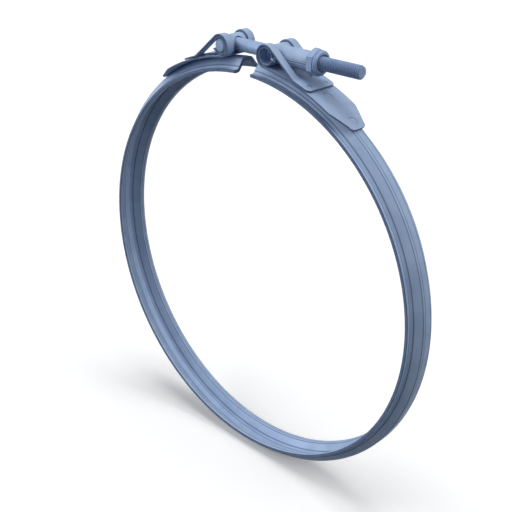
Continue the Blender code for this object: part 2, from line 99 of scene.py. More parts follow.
# The studio
OVERHEAD, LEFT_FRONT, RIGHT = (0, 0, 1), (-0.60, -0.72, 0.36), (0.76, 0.2, 0.62)    # the lights
FLOOR_REACH = 4             # from the floor's middle to its edges
FLOOR_DROP = 0.00005        # the floor lies this far under the clamp
FLOOR_GLOW = 0.11           # keeps the lit floor white and its shadow grey
FLOOR_BOUNCE = (0.035, 0.04, 0.05, 1)   # what the floor gives back to the clamp
SKY_TINT = (0.72, 0.85, 1, 1)   # the faint light from all round


# Sizes and colours

def length(label, value, help_text):
    return FloatProperty(name=label, description=help_text, default=value, min=0, precision=5,
                         subtype="DISTANCE", unit="LENGTH")


def angle(label, degrees, help_text):
    return FloatProperty(name=label, description=help_text, default=math.radians(degrees),
                         subtype="ANGLE", unit="ROTATION")


def linear(code):
    """A colour written as an sRGB hex value, turned to linear."""
    parts = [int(code[i:i + 2], 16) / 255 for i in (1, 3, 5)]
    return tuple(c / 12.92 if c <= 0.04045 else ((c + 0.055) / 1.055) ** 2.4 for c in parts)


def colour(label, code, help_text):
    return FloatVectorProperty(name=label, description=help_text, default=linear(code), size=3,
                               min=0, max=1, subtype="COLOR")


class RingSizes(bpy.types.PropertyGroup):
    """The split retainer ring, formed from one strip."""
    inner_radius: length("Inner radius", 0.1028, "Inside the two feet")
    width: length("Width", 0.0175, "Across the two feet")
    sheet: length("Sheet", 0.0016, "Thickness of the ring's strip")
    crown_height: length("Crown height", 0.00485, "From the feet out to the crown")
    crown_width: length("Crown width", 0.0052, "Between the corners of the two V walls, at mid sheet")
    v_half_angle: angle("V half angle", 37, "Lean of each wall of the V")
    bend: length("Bend radius", 0.0016, "Every bend of the section, at mid sheet")
    split: length("Split", 0.0106, "Between the two ends, at the crown")
    edge: length("Edge rounding", 0.00022, "Rounding of the sheared edges")
    mark: length("Roll mark", 0.00028, "Half the width of a line that the forming rolls leave")
    steps: IntProperty(name="Steps", description="Parts that the ring is swept in", default=264, min=24)


class StrapSizes(bpy.types.PropertyGroup):
    """The two folded straps that carry the latch."""
    sheet: length("Sheet", 0.0008, "Thickness of the straps")
    width: length("Width", 0.0186, "Width of the straps")
    pivot_offset: length("Pivot offset", 0.0151, "From the middle of the split to each loop's axis")
    leg_slope: angle("Leg slope", 40, "Slope of the leg that leaves the loop")
    leg_bend: length("Leg bend", 0.0040, "Where the leg turns into its foot, at mid sheet")
    foot_length: length("Foot length", 0.0090, "The welded foot")
    foot_corner: length("Foot corner", 0.0024, "Rounding of the foot's corners")
    plate_length: length("Plate length", 0.05443, "From under the loop's axis to the tip")
    tip_width: length("Tip width", 0.0104, "Width of the plate at its tip")
    tip_taper: length("Tip taper", 0.0100, "Length over which the plate narrows")
    tip_corner: length("Tip corner", 0.0025, "Rounding of the tip's corners")
    slot_clearance: length("Slot clearance", 0.00035, "On each side of the trunnion's flanges")
    slot_corner: length("Slot corner", 0.0012, "Rounding of the slot's corners on the loop")
    slot_drop: angle("Slot drop", 53, "The slot starts this far below the loop's axis")
    slot_past_leg: length("Slot past leg", 0.0020, "How far the slot runs into the foot's bend")
    weld_radius: length("Weld mark", 0.0021, "Radius of the print that a spot weld leaves on the plate")
    small_weld_radius: length("Small weld mark", 0.00105, "Radius of the dimple on the foot")
    first_weld: length("First weld", 0.0473, "From the middle of the split along the plate")
    second_weld: length("Second weld", 0.06435, "From the middle of the split along the plate")
    foot_weld_inset: length("Foot weld inset", 0.0028, "From the foot's end to its two weld marks")
    foot_weld_offset: length("Foot weld offset", 0.0054, "Of each weld mark from the foot's middle line")
    weld_core: length("Weld core", 0.0011, "Radius of the part inside the mark that stays proud")
    weld_depth: length("Weld depth", 0.00014, "How deep the electrode prints")


class LatchSizes(bpy.types.PropertyGroup):
    """The T-bolt, its saddle, the trunnion and the lock nut."""
    cross_inset: length("Cross inset", 0.00025, "From a strap's edge to the end of the tube in its loops")
    bolt_radius: length("Bolt radius", 0.003175, "Over the thread")
    bolt_reach: length("Bolt reach", 0.0796, "From the cross head's axis to the bolt's end")
    bolt_chamfer: length("Bolt chamfer", 0.0006, "At the threaded end")
    pitch: length("Thread pitch", 0.0254 / 28, "28 threads to the inch")
    thread_start: length("Thread start", 0.0440, "From the cross head's axis, inside the sleeve")
    head_radius: length("Head radius", 0.0033, "Of the cross head")
    head_play: length("Head play", 0.0001, "What the head can shift along the bolt in its saddle")
    head_proud: length("Head proud", 0.00015, "Each end of the head past the saddle")
    head_chamfer: length("Head chamfer", 0.0005, "At both ends of the cross head")
    saddle_sheet: length("Saddle sheet", 0.0008, "Thickness of the head saddle")
    saddle_upper_end: angle("Saddle upper end", 152, "Where its C stops above the opening")
    saddle_lower_end: angle("Saddle lower end", -142, "Where its C stops below the opening")
    curl_bend: length("Curl bend", 0.0011, "Bend of the two curled ears")
    curl_turn: angle("Curl turn", 75, "How far the ears curl")
    ear_width: length("Ear width", 0.0024, "Each ear, on both sides of the toe")
    ear_gap: length("Ear gap", 0.0003, "Between an ear and the toe")
    window_clearance: length("Window clearance", 0.0005, "Round the bolt where it leaves the saddle")
    toe_start: angle("Toe start", -112, "Where the toe leaves the C")
    toe_leave: angle("Toe leave", -124, "Where the toe turns down")
    toe_drop: length("Toe drop", 0.00827, "Along the plate to where the toe lands")
    toe_rest: length("Toe rest", 0.00737, "What lies along the plate")
    toe_bend: length("Toe bend", 0.0013, "Bends of the toe, at mid sheet")
    trunnion_sheet: length("Trunnion sheet", 0.00075, "Thickness of the trunnion")
    sleeve_clearance: length("Sleeve clearance", 0.00045, "Round the bolt")
    sleeve_reach: length("Sleeve reach", 0.0214, "From the trunnion's axis to the sleeve's end")
    flange_edge: length("Flange edge", 0.000275, "Each flange past the sleeve's side")
    lip_bend: length("Lip bend", 0.0008, "Where the tube turns into its lips")
    seam_drop: length("Seam drop", 0.0007, "The seam lies below the bolt's axis")
    seam_gap: length("Seam gap", 0.0003, "Between the two lips")
    nut_across_flats: length("Nut across flats", 0.01111, "7/16 in")
    nut_length: length("Nut length", 0.00556, "Hexagon, groove and collar")
    hex_length: length("Hexagon length", 0.0036, "The part that a spanner grips")
    hex_chamfer: angle("Hexagon chamfer", 30, "At both ends of the hexagon")
    bore_gap: length("Bore gap", 0.0003, "Round the bolt in the nut")
    groove_width: length("Groove width", 0.0004, "Between the hexagon and the collar")
    groove_depth: length("Groove depth", 0.0005, "Of the same groove")
    collar_wall: length("Collar wall", 0.000425, "Round the locking ring's pocket")
    collar_chamfer: length("Collar chamfer", 0.0009, "Cone at the collar's end")
    collar_lip: length("Collar lip", 0.00035, "Crimped over the locking ring")
    lip_hold: length("Lip hold", 0.000375, "The lip covers this much of the ring")
    lock_ring_width: length("Locking ring width", 0.0006, "Along the bolt")
    lock_ring_depth: length("Locking ring depth", 0.0010, "Radial")
    edge: length("Edge rounding", 0.00012, "Rounding of sheared and turned edges")


class FinishColours(bpy.types.PropertyGroup):
    """The coats of the steel pieces, and the studio floor."""
    sheet_pale: colour("Sheet, pale", "#acc0de", "Blue passivated zinc on rolled sheet, where it is clear")
    sheet_deep: colour("Sheet, deep", "#99afd0", "The same coat where it is cloudy")
    # The straps' colours are a shade darker than the ring's: painted shade for the straps' plate and legs.
    strap_pale: colour("Strap, pale", "#a8bcda", "The same zinc on the straps, a shade duller")
    strap_deep: colour("Strap, deep", "#99aece", "The straps' coat where it is cloudy")
    # The sheared edges' colours are darker than the sheet's: painted shade on the narrow edge faces.
    edge_pale: colour("Sheared edge, pale", "#7086a9", "Thin zinc on a sheared edge")
    edge_deep: colour("Sheared edge, deep", "#5e7396", "The same where it is dull")
    arris_pale: colour("Arris, pale", "#46587a", "The coat burnt dark along a corner")
    arris_deep: colour("Arris, deep", "#34445f", "The same where it is darkest")
    bolt_pale: colour("Fastener, pale", "#a0b6d8", "Zinc on forged and turned steel")
    bolt_deep: colour("Fastener, deep", "#8ba3c9", "The same where it is dull")
    # Thread root: painted shade, the dark colour that the thread's roots are given in place of their shadow.
    root: colour("Thread root", "#4b5f84", "What lies in the roots of a thread")
    spring_pale: colour("Spring, pale", "#8292ae", "Oiled spring steel")
    spring_deep: colour("Spring, deep", "#64738e", "The same where the oil is thick")
    floor: colour("Floor", "#ffffff", "Pale studio floor")


class StageSettings(bpy.types.PropertyGroup):
    """The plain studio round the clamp."""
    camera_azimuth: angle("Azimuth", 45.13, "Of the photograph's camera, from -Y towards +X")
    camera_elevation: angle("Elevation", 25.5468, "Of the photograph's camera")
    camera_distance: length("Distance", 0.494190, "From the camera to its aim")
    camera_right: length("Aim, right", 0.000226, "From the ring's centre, in the picture's plane")
    camera_up: length("Aim, up", 0.005161, "From the ring's centre, in the picture's plane")
    lens: FloatProperty(name="Lens", description="Focal length on a 36 mm sensor", default=66.552,
                        subtype="DISTANCE_CAMERA", unit="CAMERA")
    overhead: FloatProperty(name="Overhead light", description="Strength of the light from above",
                            default=1.4, min=0)
    overhead_spread: angle("Overhead spread", 34, "How soft the light from above is")
    front: FloatProperty(name="Front light", description="Strength of the low light from the left front",
                         default=2.0, min=0)
    right: FloatProperty(name="Right light", description="Strength of the light from the right",
                         default=1.3, min=0)
    side_spread: angle("Side spread", 60, "How soft the two side lights are")
    ambient: FloatProperty(name="Ambient", description="What reaches matt surfaces from all round",
                           default=0.04, min=0)


class Places:
    """Where things lie, worked out from the sizes in the scene's settings."""

    def __init__(self, scene):
        ring, strap, latch = scene.clamp_ring, scene.clamp_strap, scene.clamp_latch
        self.foot_mid = ring.inner_radius + ring.sheet / 2
        self.crown_mid = self.foot_mid + ring.crown_height
        self.crown_top = self.crown_mid + ring.sheet / 2
        self.plate_mid = self.crown_top + FIT_GAP + strap.sheet / 2
        self.plate_top = self.plate_mid + strap.sheet / 2
        self.strap_foot_mid = self.plate_top + FIT_GAP + strap.sheet / 2
        self.saddle_inner = latch.head_radius + FIT_GAP + latch.head_play
        self.cross_radius = self.saddle_inner + latch.saddle_sheet
        self.cross_length = strap.width - 2 * latch.cross_inset
        self.loop_mid = self.cross_radius + FIT_GAP + strap.sheet / 2
        pivot_radius = self.plate_mid + self.loop_mid
        pivot_z = math.sqrt(pivot_radius ** 2 - strap.pivot_offset ** 2)
        self.pivot_angle = math.asin(strap.pivot_offset / pivot_radius)
        self.plate_span = self.pivot_angle + strap.plate_length / self.plate_mid
        self.saddle_axis = Vector((-strap.pivot_offset, 0, pivot_z))
        self.head_axis = self.saddle_axis + ALONG_X * latch.head_play
        self.trunnion_axis = Vector((strap.pivot_offset, 0, pivot_z))
        self.sleeve_bore = latch.bolt_radius + latch.sleeve_clearance
        self.sleeve_radius = self.sleeve_bore + latch.trunnion_sheet
        self.flange_width = 2 * (self.sleeve_radius + latch.flange_edge)
        self.slot_width = self.flange_width + 2 * strap.slot_clearance
        self.nut_start = self.trunnion_axis + ALONG_X * (latch.sleeve_reach + FIT_GAP)
        self.nut_bore = latch.bolt_radius + latch.bore_gap
        self.lock_ring_radius = self.nut_bore + latch.lock_ring_depth
        self.pocket_radius = self.lock_ring_radius + FIT_GAP
        self.lip_radius = self.lock_ring_radius - latch.lip_hold
        self.groove_radius = self.pocket_radius + latch.collar_wall
        self.collar_radius = self.groove_radius + latch.groove_depth
        self.pocket_end = latch.nut_length - latch.collar_lip
        self.lock_ring_start = self.pocket_end - FIT_GAP - latch.lock_ring_width
        self.pocket_start = self.lock_ring_start - FIT_GAP


# Nodes and finishes

def add(tree, kind, inputs=None, **settings):
    """Add a node with its settings, and link or set its inputs by name or number."""
    node = tree.nodes.new(kind)
    for name, value in settings.items():
        setattr(node, name, value)
    for key, value in (inputs or {}).items():
        if isinstance(value, bpy.types.Node):
            value = value.outputs[0]
        if isinstance(value, bpy.types.NodeSocket):
            tree.links.new(value, node.inputs[key])
        else:
            node.inputs[key].default_value = value
    return node


def texture_scale(millimetres):
    """A texture's scale that gives features of a real size, on coordinates in metres."""
    return 1000 / millimetres


def round_ring(tree):
    """Coordinates that follow the ring: along its circle, across it, and out from it."""
    place = add(tree, "ShaderNodeTexCoord").outputs["Object"]
    parts = add(tree, "ShaderNodeSeparateXYZ", {0: place})
    back_x = add(tree, "ShaderNodeMath", {0: parts.outputs["X"], 1: -1.0}, operation="MULTIPLY")
    back_z = add(tree, "ShaderNodeMath", {0: parts.outputs["Z"], 1: -1.0}, operation="MULTIPLY")
    turn = add(tree, "ShaderNodeMath", {0: back_x, 1: back_z}, operation="ARCTAN2")
    along = add(tree, "ShaderNodeMath", {0: turn, 1: RING_MIDDLE}, operation="MULTIPLY")
    flat = add(tree, "ShaderNodeVectorMath", {0: place, 1: (1, 0, 1)}, operation="MULTIPLY")
    out = add(tree, "ShaderNodeVectorMath", {0: flat}, operation="LENGTH")
    return add(tree, "ShaderNodeCombineXYZ", {"X": along, "Y": parts.outputs["Y"], "Z": out.outputs["Value"]})


def along_strip(tree):
    """Coordinates that follow a folded strip: the flat blank's length and width, in metres."""
    return add(tree, "ShaderNodeUVMap", uv_map="strip")


def along_x(tree):
    """The piece's own coordinates, for grain that runs along X."""
    return add(tree, "ShaderNodeTexCoord").outputs["Object"]


def thread_root_shade(tree):
    """How far a spot lies down in the thread, 0 on its crests and on plain faces: the share of painted shade
    in the thread's roots.
    """
    depth = add(tree, "ShaderNodeAttribute", attribute_name="thread_depth")
    return add(tree, "ShaderNodeMapRange", {"Value": depth.outputs["Fac"], "From Min": 0.2, "To Max": 0.9})


def roll_marks(ring):
    """Dark lines round the ring where the forming rolls pinched the strip, at both ends of each bend."""
    wall = math.pi / 2 - ring.v_half_angle
    cut = ring.bend * math.tan(wall / 2)
    root = ring.crown_width / 2 + ring.crown_height / math.tan(wall)
    lines = (root + cut, root - cut * math.cos(wall), ring.crown_width / 2 + cut * math.cos(wall),
             ring.crown_width / 2 - cut)

    def marks(tree):
        parts = add(tree, "ShaderNodeSeparateXYZ", {0: add(tree, "ShaderNodeTexCoord").outputs["Object"]})
        across = add(tree, "ShaderNodeMath", {0: parts.outputs["Y"]}, operation="ABSOLUTE")
        total = None
        for line in lines:
            off = add(tree, "ShaderNodeMath", {0: across, 1: line}, operation="SUBTRACT")
            gap = add(tree, "ShaderNodeMath", {0: off}, operation="ABSOLUTE")
            mark = add(tree, "ShaderNodeMapRange", {
                "Value": gap, "From Min": ring.mark / 4, "From Max": ring.mark,
                "To Min": ROLL_MARK_SHADE, "To Max": 0.0})
            total = add(tree, "ShaderNodeMath", {0: total, 1: mark}, operation="MAXIMUM") if total else mark
        return total

    return marks


def mixed(tree, factor, first, second):
    """Mix two colours, each of them a colour or the socket that gives it."""
    mix = add(tree, "ShaderNodeMix", {"Factor": factor}, data_type="RGBA")
    for socket, value in zip([s for s in mix.inputs if s.type == "RGBA"], (first, second)):
        if isinstance(value, bpy.types.NodeSocket):
            tree.links.new(value, socket)
        else:
            socket.default_value = (*value, 1)
    return [s for s in mix.outputs if s.type == "RGBA"][0]


def coated_steel(name, pale, deep, follow, metallic, roughness, grain, cloud, relief, mark=None, marked=None):
    """A coated steel: a cloudy coat over a grain that is stretched along the piece.

    grain and cloud are sizes in millimetres, and relief is the grain's height in metres. Real
    streaks are about 0.05 mm apart: they are drawn coarser, so that they show. The coat takes
    the mark's colour where the marked function's nodes say so.
    """
    material = bpy.data.materials.new(name)
    material.use_nodes = True
    tree = material.node_tree
    shader = tree.nodes["Principled BSDF"]
    place = add(tree, "ShaderNodeTexCoord").outputs["Object"]
    clouds = add(tree, "ShaderNodeTexNoise", {"Vector": place, "Scale": texture_scale(cloud),
                                              "Detail": 4.0, "Roughness": 0.6})
    stretched = add(tree, "ShaderNodeVectorMath", {0: follow(tree), 1: (GRAIN_STRETCH, 1, 1)},
                    operation="MULTIPLY")
    streaks = add(tree, "ShaderNodeTexNoise", {"Vector": stretched, "Scale": texture_scale(grain),
                                               "Detail": 3.0, "Roughness": 0.55})
    cloudy = add(tree, "ShaderNodeMapRange", {"Value": clouds.outputs["Fac"], "From Min": 0.35,
                                              "From Max": 0.65, "To Max": CLOUD_SHARE})
    shade = add(tree, "ShaderNodeMath", {0: streaks.outputs["Fac"], 1: STREAK_SHARE, 2: cloudy},
                operation="MULTIPLY_ADD")
    coat = mixed(tree, shade, pale, deep)
    if marked:
        coat = mixed(tree, marked(tree), coat, mark)
    tree.links.new(coat, shader.inputs["Base Color"])
    gloss = add(tree, "ShaderNodeMapRange", {
        "Value": clouds.outputs["Fac"], "From Min": 0.3, "From Max": 0.7,
        "To Min": roughness - GLOSS_SPREAD, "To Max": roughness + GLOSS_SPREAD})
    tree.links.new(gloss.outputs[0], shader.inputs["Roughness"])
    bump = add(tree, "ShaderNodeBump", {"Strength": 0.5, "Distance": relief,
                                        "Height": streaks.outputs["Fac"]})
    tree.links.new(bump.outputs[0], shader.inputs["Normal"])
    shader.inputs["Metallic"].default_value = metallic
    shader.inputs["Specular IOR Level"].default_value = SPECULAR
    return material


class Finishes:
    """The clamp's finishes, made once and shared by its pieces."""
    made = {}

    @classmethod
    def get(cls, scene, name):
        if name in cls.made:
            return cls.made[name]
        tints = scene.clamp_finish
        if name == "ring_sheet":
            # Zinc-plated, blue passivated strip: satin, with fine streaks along the ring and a
            # dark line at both ends of each bend, where the forming rolls pressed.
            made = coated_steel("zinc_plated_rolled_ring", tints.sheet_pale, tints.sheet_deep, round_ring,
                                metallic=0.05, roughness=0.52, grain=0.5, cloud=9, relief=0.00004,
                                mark=tints.arris_pale, marked=roll_marks(scene.clamp_ring))
        elif name == "strap_sheet":
            # The same coat on the straps' thinner sheet, a shade darker and greyer than the ring: painted
            # shade for their plate and legs.
            made = coated_steel("zinc_plated_folded_strap", tints.strap_pale, tints.strap_deep, along_strip,
                                metallic=0.05, roughness=0.55, grain=0.5, cloud=7, relief=0.00003)
        elif name == "pressed_sheet":
            # Pressed pieces, plated on their own: clear blue zinc, as light as the ring's.
            made = coated_steel("zinc_plated_pressed_sheet", tints.sheet_pale, tints.sheet_deep, along_strip,
                                metallic=0.05, roughness=0.55, grain=0.5, cloud=5, relief=0.00003)
        elif name == "sheared_edge":
            # The sheared edges are coloured a shade darker than the sheet: painted shade on the narrow edge
            # faces.
            made = coated_steel("zinc_plated_sheared_edge", tints.edge_pale, tints.edge_deep, along_x,
                                metallic=0.05, roughness=0.6, grain=0.6, cloud=3, relief=0.00003)
        elif name == "arris":
            # The passivate burns dark along each corner, which draws a thin line round every face.
            made = coated_steel("burnt_passivate_arris", tints.arris_pale, tints.arris_deep, along_x,
                                metallic=0.05, roughness=0.6, grain=0.6, cloud=3, relief=0.00001)
        elif name == "fastener":
            # Forged and turned steel under the same zinc, a little glossier than the sheet. The
            # thread's roots are painted dark, a painted shade, so each turn shows as a thin line.
            made = coated_steel("zinc_plated_fastener", tints.bolt_pale, tints.bolt_deep, along_x,
                                metallic=0.12, roughness=0.45, grain=0.4, cloud=5, relief=0.00002,
                                mark=tints.root, marked=thread_root_shade)
        elif name == "spring":
            # Spring steel straight from the coiler, dark under a film of oil.
            made = coated_steel("oiled_spring_steel", tints.spring_pale, tints.spring_deep, along_x,
                                metallic=0.6, roughness=0.35, grain=0.3, cloud=2, relief=0.00001)
        else:
            raise RuntimeError(f"there is no finish named {name}")
        cls.made[name] = made
        return made


def finishes(context, own):
    """A piece's three slots: its own finish, its sheared edges and its rounded corners."""
    return [Finishes.get(context.scene, name) for name in (own, "sheared_edge", "arris")]


# Mesh tools

def new_piece(name, bm, materials):
    """Close a bmesh's seams, turn its faces outwards and put it in the scene."""
    bmesh.ops.remove_doubles(bm, verts=bm.verts, dist=MERGE)
    bmesh.ops.recalc_face_normals(bm, faces=bm.faces)
    mesh = bpy.data.meshes.new(name)
    bm.to_mesh(mesh)
    bm.free()
    for material in materials:
        mesh.materials.append(material)
    piece = bpy.data.objects.new(name, mesh)
    bpy.context.scene.collection.objects.link(piece)
    return piece


def settle(piece, *tools):
    """Make a piece's modifiers permanent, and remove the tools that they used."""
    depsgraph = bpy.context.evaluated_depsgraph_get()
    mesh = bpy.data.meshes.new_from_object(piece.evaluated_get(depsgraph), depsgraph=depsgraph)
    piece.modifiers.clear()
    piece.data = mesh
    mesh.name = piece.name
    for tool in tools:
        bpy.data.objects.remove(tool)
    if not mesh.polygons:
        raise RuntimeError(f"{piece.name} came out empty")
    return piece


def combine(piece, tool, operation):
    """Join, cut or intersect a piece with a tool, which is used up."""
    modifier = piece.modifiers.new("combine", "BOOLEAN")
    modifier.operation = operation
    modifier.solver = "EXACT"
    modifier.object = tool
    return settle(piece, tool)


def round_edges(piece, width, limit=60):
    """Round the edges that turn more than a limit in degrees, and give them the arris's finish."""
    modifier = piece.modifiers.new("edges", "BEVEL")
    modifier.width = width
    modifier.segments = 2
    modifier.limit_method = "ANGLE"
    modifier.angle_limit = math.radians(limit)
    modifier.use_clamp_overlap = False
    modifier.material = ARRIS
    return settle(piece)


def dress(piece, body, node):
    """Shade a finished piece, and let it stand for its solid and ride on its body."""
    piece.data.shade_smooth()
    piece.data.set_sharp_from_angle(angle=SHARP_EDGE)
    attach(piece, body)
    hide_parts(node)


def soften(outline, size, limit=40, parts=2, closed=False):
    """Round an outline's sharp corners. Also says which of its runs lie on a rounded corner."""
    points, rounded = [], []
    count = len(outline)
    for i, corner in enumerate(outline):
        corner = Vector(corner)
        into = corner - Vector(outline[i - 1])
        away = Vector(outline[(i + 1) % count]) - corner
        is_end = not closed and i in (0, count - 1)
        if is_end or abs(into.angle_signed(away)) < math.radians(limit):
            points.append(corner)
            rounded.append(False)
            continue
        start, stop = corner - into.normalized() * size, corner + away.normalized() * size
        for k in range(parts + 1):
            t = k / parts
            points.append((1 - t) ** 2 * start + 2 * (1 - t) * t * corner + t ** 2 * stop)
            rounded.append(k < parts)
    return points, rounded


def turned(name, outline, origin, axis, materials, rounding=0.0, steps=96, dark_runs=()):
    """Turn an outline of (along, radius) points about an axis, with its sharp corners rounded.

    An outline that starts away from the axis is closed on itself. The faces of the rounded
    corners, and of the runs that are named, get the arris's finish.
    """
    closed = outline[0][1] > 0
    if rounding:
        points, rounded = soften(outline, rounding, closed=closed)
    else:
        points, rounded = [Vector(p) for p in outline], [i in dark_runs for i in range(len(outline))]
    side = axis.orthogonal().normalized()
    other = axis.cross(side)
    bm = bmesh.new()
    rings = []
    for along, radius in points:
        spots = 1 if radius < MERGE else steps
        rings.append([bm.verts.new(origin + axis * along + radius * (
            side * math.cos(math.tau * j / steps) + other * math.sin(math.tau * j / steps)))
            for j in range(spots)])
    pairs = list(zip(rings, rings[1:] + (rings[:1] if closed else []), rounded))
    for a, b, is_edge in pairs:
        for j in range(steps):
            k = (j + 1) % steps
            corners = [a[j % len(a)], a[k % len(a)], b[k % len(b)], b[j % len(b)]]
            corners = list(dict.fromkeys(corners))
            if len(corners) > 2:
                face = bm.faces.new(corners)
                face.material_index = ARRIS if is_edge else FACE
    return new_piece(name, bm, materials)


def rod(name, low, high, radius, origin, axis, materials, rounding=0.0):
    """A plain cylinder between two places along its axis."""
    outline = [(low, 0), (low, radius), (high, radius), (high, 0)]
    return turned(name, outline, origin, axis, materials, rounding)


def block(name, low, high, materials):
    """A box between two corners."""
    bm = bmesh.new()
    size = high - low
    matrix = Matrix.Translation((low + high) / 2) @ Matrix.Diagonal((*size, 1))
    bmesh.ops.create_cube(bm, size=1, matrix=matrix)
    return new_piece(name, bm, materials)


class FoldLine:
    """The middle line of a folded sheet in the XZ plane, as straight runs and bends."""

    def __init__(self, start, heading):
        self.start = Vector(start)
        self.heading = heading
        self.runs = []

    @property
    def length(self):
        return sum(run for run, _ in self.runs)

    def straight(self, run):
        self.runs.append((run, 0.0))
        return self.length

    def bend(self, radius, turn):
        self.runs.append((radius * abs(turn), turn))
        return self.length

    def at(self, distance):
        """The point and the heading at a distance along the sheet."""
        point, heading = self.start.copy(), self.heading
        for run, turn in self.runs:
            part = min(distance, run)
            share = turn * part / run
            if turn:
                left = Vector((-math.sin(heading), math.cos(heading)))
                end_left = Vector((-math.sin(heading + share), math.cos(heading + share)))
                point += (left - end_left) * run / turn
            else:
                point += Vector((math.cos(heading), math.sin(heading))) * part
            heading += share
            distance -= part
            if distance <= 0:
                break
        return point, heading

    def stops(self, step, longest=0.003):
        """Distances at each run's ends, and inside it so that no part turns or runs too far."""
        places, distance = [0.0], 0.0
        for run, turn in self.runs:
            count = max(1, math.ceil(abs(turn) / step - 0.001), math.ceil(run / longest))
            places += [distance + run * (i + 1) / count for i in range(count)]
            distance += run
        return places


def fillet_line(corners, radius):
    """Straight runs between corner points, with the same bend at each inner corner."""
    runs = [b - a for a, b in zip(corners, corners[1:])]
    headings = [math.atan2(run.y, run.x) for run in runs]
    turns = [math.remainder(b - a, math.tau) for a, b in zip(headings, headings[1:])]
    cuts = [0.0] + [radius * math.tan(abs(turn) / 2) for turn in turns] + [0.0]
    line = FoldLine(corners[0], headings[0])
    for i, run in enumerate(runs):
        line.straight(run.length - cuts[i] - cuts[i + 1])
        if i < len(turns):
            line.bend(radius, turns[i])
    return line


def folded(name, line, places, sheet, half_width, slot_edge, solid, materials, side=1):
    """Fold a flat blank along its line, with the blank's own length and width as its UV map."""
    bm = bmesh.new()
    strip = bm.loops.layers.uv.new("strip")
    places = sorted(places)
    places = [places[0]] + [b for a, b in zip(places, places[1:]) if b - a > ROW_GAP]
    rows = []
    for place in places:
        point, heading = line.at(place)
        up = Vector((-math.sin(heading), math.cos(heading))) * sheet / 2
        wide = half_width(place)
        narrow = min(slot_edge(place), SLOT_LIMIT * wide)
        rows.append([(bm.verts.new((spot.x * side, y, spot.y)), (place, y))
                     for spot in (point + up, point - up) for y in (-wide, -narrow, narrow, wide)])
    middles = [solid((a + b) / 2) for a, b in zip(places, places[1:])]

    def quad(index, *corners):
        face = bm.faces.new([vert for vert, _ in corners])
        face.material_index = index
        for loop, (_, spot) in zip(face.loops, corners):
            loop[strip].uv = spot

    for a, b, middle in zip(rows, rows[1:], middles):
        for i in (0, 1, 2):
            if i != 1 or middle:
                quad(FACE, a[i], a[i + 1], b[i + 1], b[i])
                quad(FACE, a[i + 4], b[i + 4], b[i + 5], a[i + 5])
        quad(EDGE, a[0], b[0], b[4], a[4])
        quad(EDGE, a[3], a[7], b[7], b[3])
        if not middle:
            quad(EDGE, a[1], a[5], b[5], b[1])
            quad(EDGE, a[2], b[2], b[6], a[6])
    for row, middle in ((rows[0], middles[0]), (rows[-1], middles[-1])):
        for i in (0, 1, 2):
            if i != 1 or middle:
                quad(EDGE, row[i], row[i + 4], row[i + 5], row[i + 1])
    for row, before, after in zip(rows[1:], middles, middles[1:]):
        if before != after:
            quad(EDGE, row[1], row[2], row[6], row[5])
    return new_piece(name, bm, materials)


def rounded_end(distance, half_width, radius):
    """The half width of a strip at a distance from its end, whose two corners are rounded."""
    if distance >= radius:
        return half_width
    return half_width - radius + math.sqrt(radius ** 2 - (radius - distance) ** 2)


def corner_places(radius):
    """Distances along a rounded corner, at equal turns."""
    return [radius * (1 - math.cos(math.pi / 2 * i / 6)) for i in range(7)]


def on_ring(radius, turn):
    """A point (x, z) at an angle from the middle of the split, towards +X."""
    return Vector((radius * math.sin(turn), radius * math.cos(turn)))


def around(centre, radius, turn):
    """A point (x, z) at an angle from +X about a centre."""
    return Vector((centre.x + radius * math.cos(turn), centre.z + radius * math.sin(turn)))


# Geometry Nodes

def sized_tree(name, sizes):
    """A Geometry Nodes tree with a geometry in and out, and named inputs for its sizes."""
    tree = bpy.data.node_groups.new(name, "GeometryNodeTree")
    tree.interface.new_socket("Geometry", in_out="INPUT", socket_type="NodeSocketGeometry")
    for label, kind in sizes.items():
        tree.interface.new_socket(label, in_out="INPUT", socket_type=kind)
    tree.interface.new_socket("Geometry", in_out="OUTPUT", socket_type="NodeSocketGeometry")
    return tree, add(tree, "NodeGroupInput")


def finish_tree(tree, geometry, given):
    """End a tree: real geometry, in its material."""
    real = add(tree, "GeometryNodeRealizeInstances", {"Geometry": geometry})
    painted = add(tree, "GeometryNodeSetMaterial", {"Geometry": real, "Material": given.outputs["Material"]})
    add(tree, "NodeGroupOutput", {"Geometry": painted})


def grow(piece, tree, values):
    """Run a tree on a piece with its inputs set, and keep the mesh that it makes."""
    modifier = piece.modifiers.new(tree.name, "NODES")
    modifier.node_group = tree
    names = {item.name: item.identifier for item in tree.interface.items_tree
             if item.in_out == "INPUT" and item.socket_type != "NodeSocketGeometry"}
    for label, value in values.items():
        modifier[names[label]] = value
    piece.update_tag()
    return settle(piece)


def sweep_tree():
    """Sweeps a closed section round a split ring whose axis is Y."""
    tree, given = sized_tree("split_ring_sweep", {
        "Radius": "NodeSocketFloat", "Half Split": "NodeSocketFloat", "Steps": "NodeSocketInt",
        "Material": "NodeSocketMaterial"})
    section = add(tree, "GeometryNodeMeshToCurve", {"Mesh": given.outputs["Geometry"]})
    start = add(tree, "ShaderNodeMath", {0: given.outputs["Half Split"], 1: math.pi / 2}, operation="ADD")
    sweep = add(tree, "ShaderNodeMath", {0: given.outputs["Half Split"], 1: -2.0, 2: math.tau},
                operation="MULTIPLY_ADD")
    points = add(tree, "ShaderNodeMath", {0: given.outputs["Steps"], 1: 1.0}, operation="ADD")
    path = add(tree, "GeometryNodeCurveArc", {"Resolution": points, "Radius": given.outputs["Radius"],
                                              "Start Angle": start, "Sweep Angle": sweep})
    swept = add(tree, "GeometryNodeCurveToMesh", {"Curve": path, "Profile Curve": section, "Fill Caps": True})
    upright = add(tree, "GeometryNodeTransform", {"Geometry": swept, "Rotation": Euler((math.pi / 2, 0, 0))})
    finish_tree(tree, upright, given)
    return tree


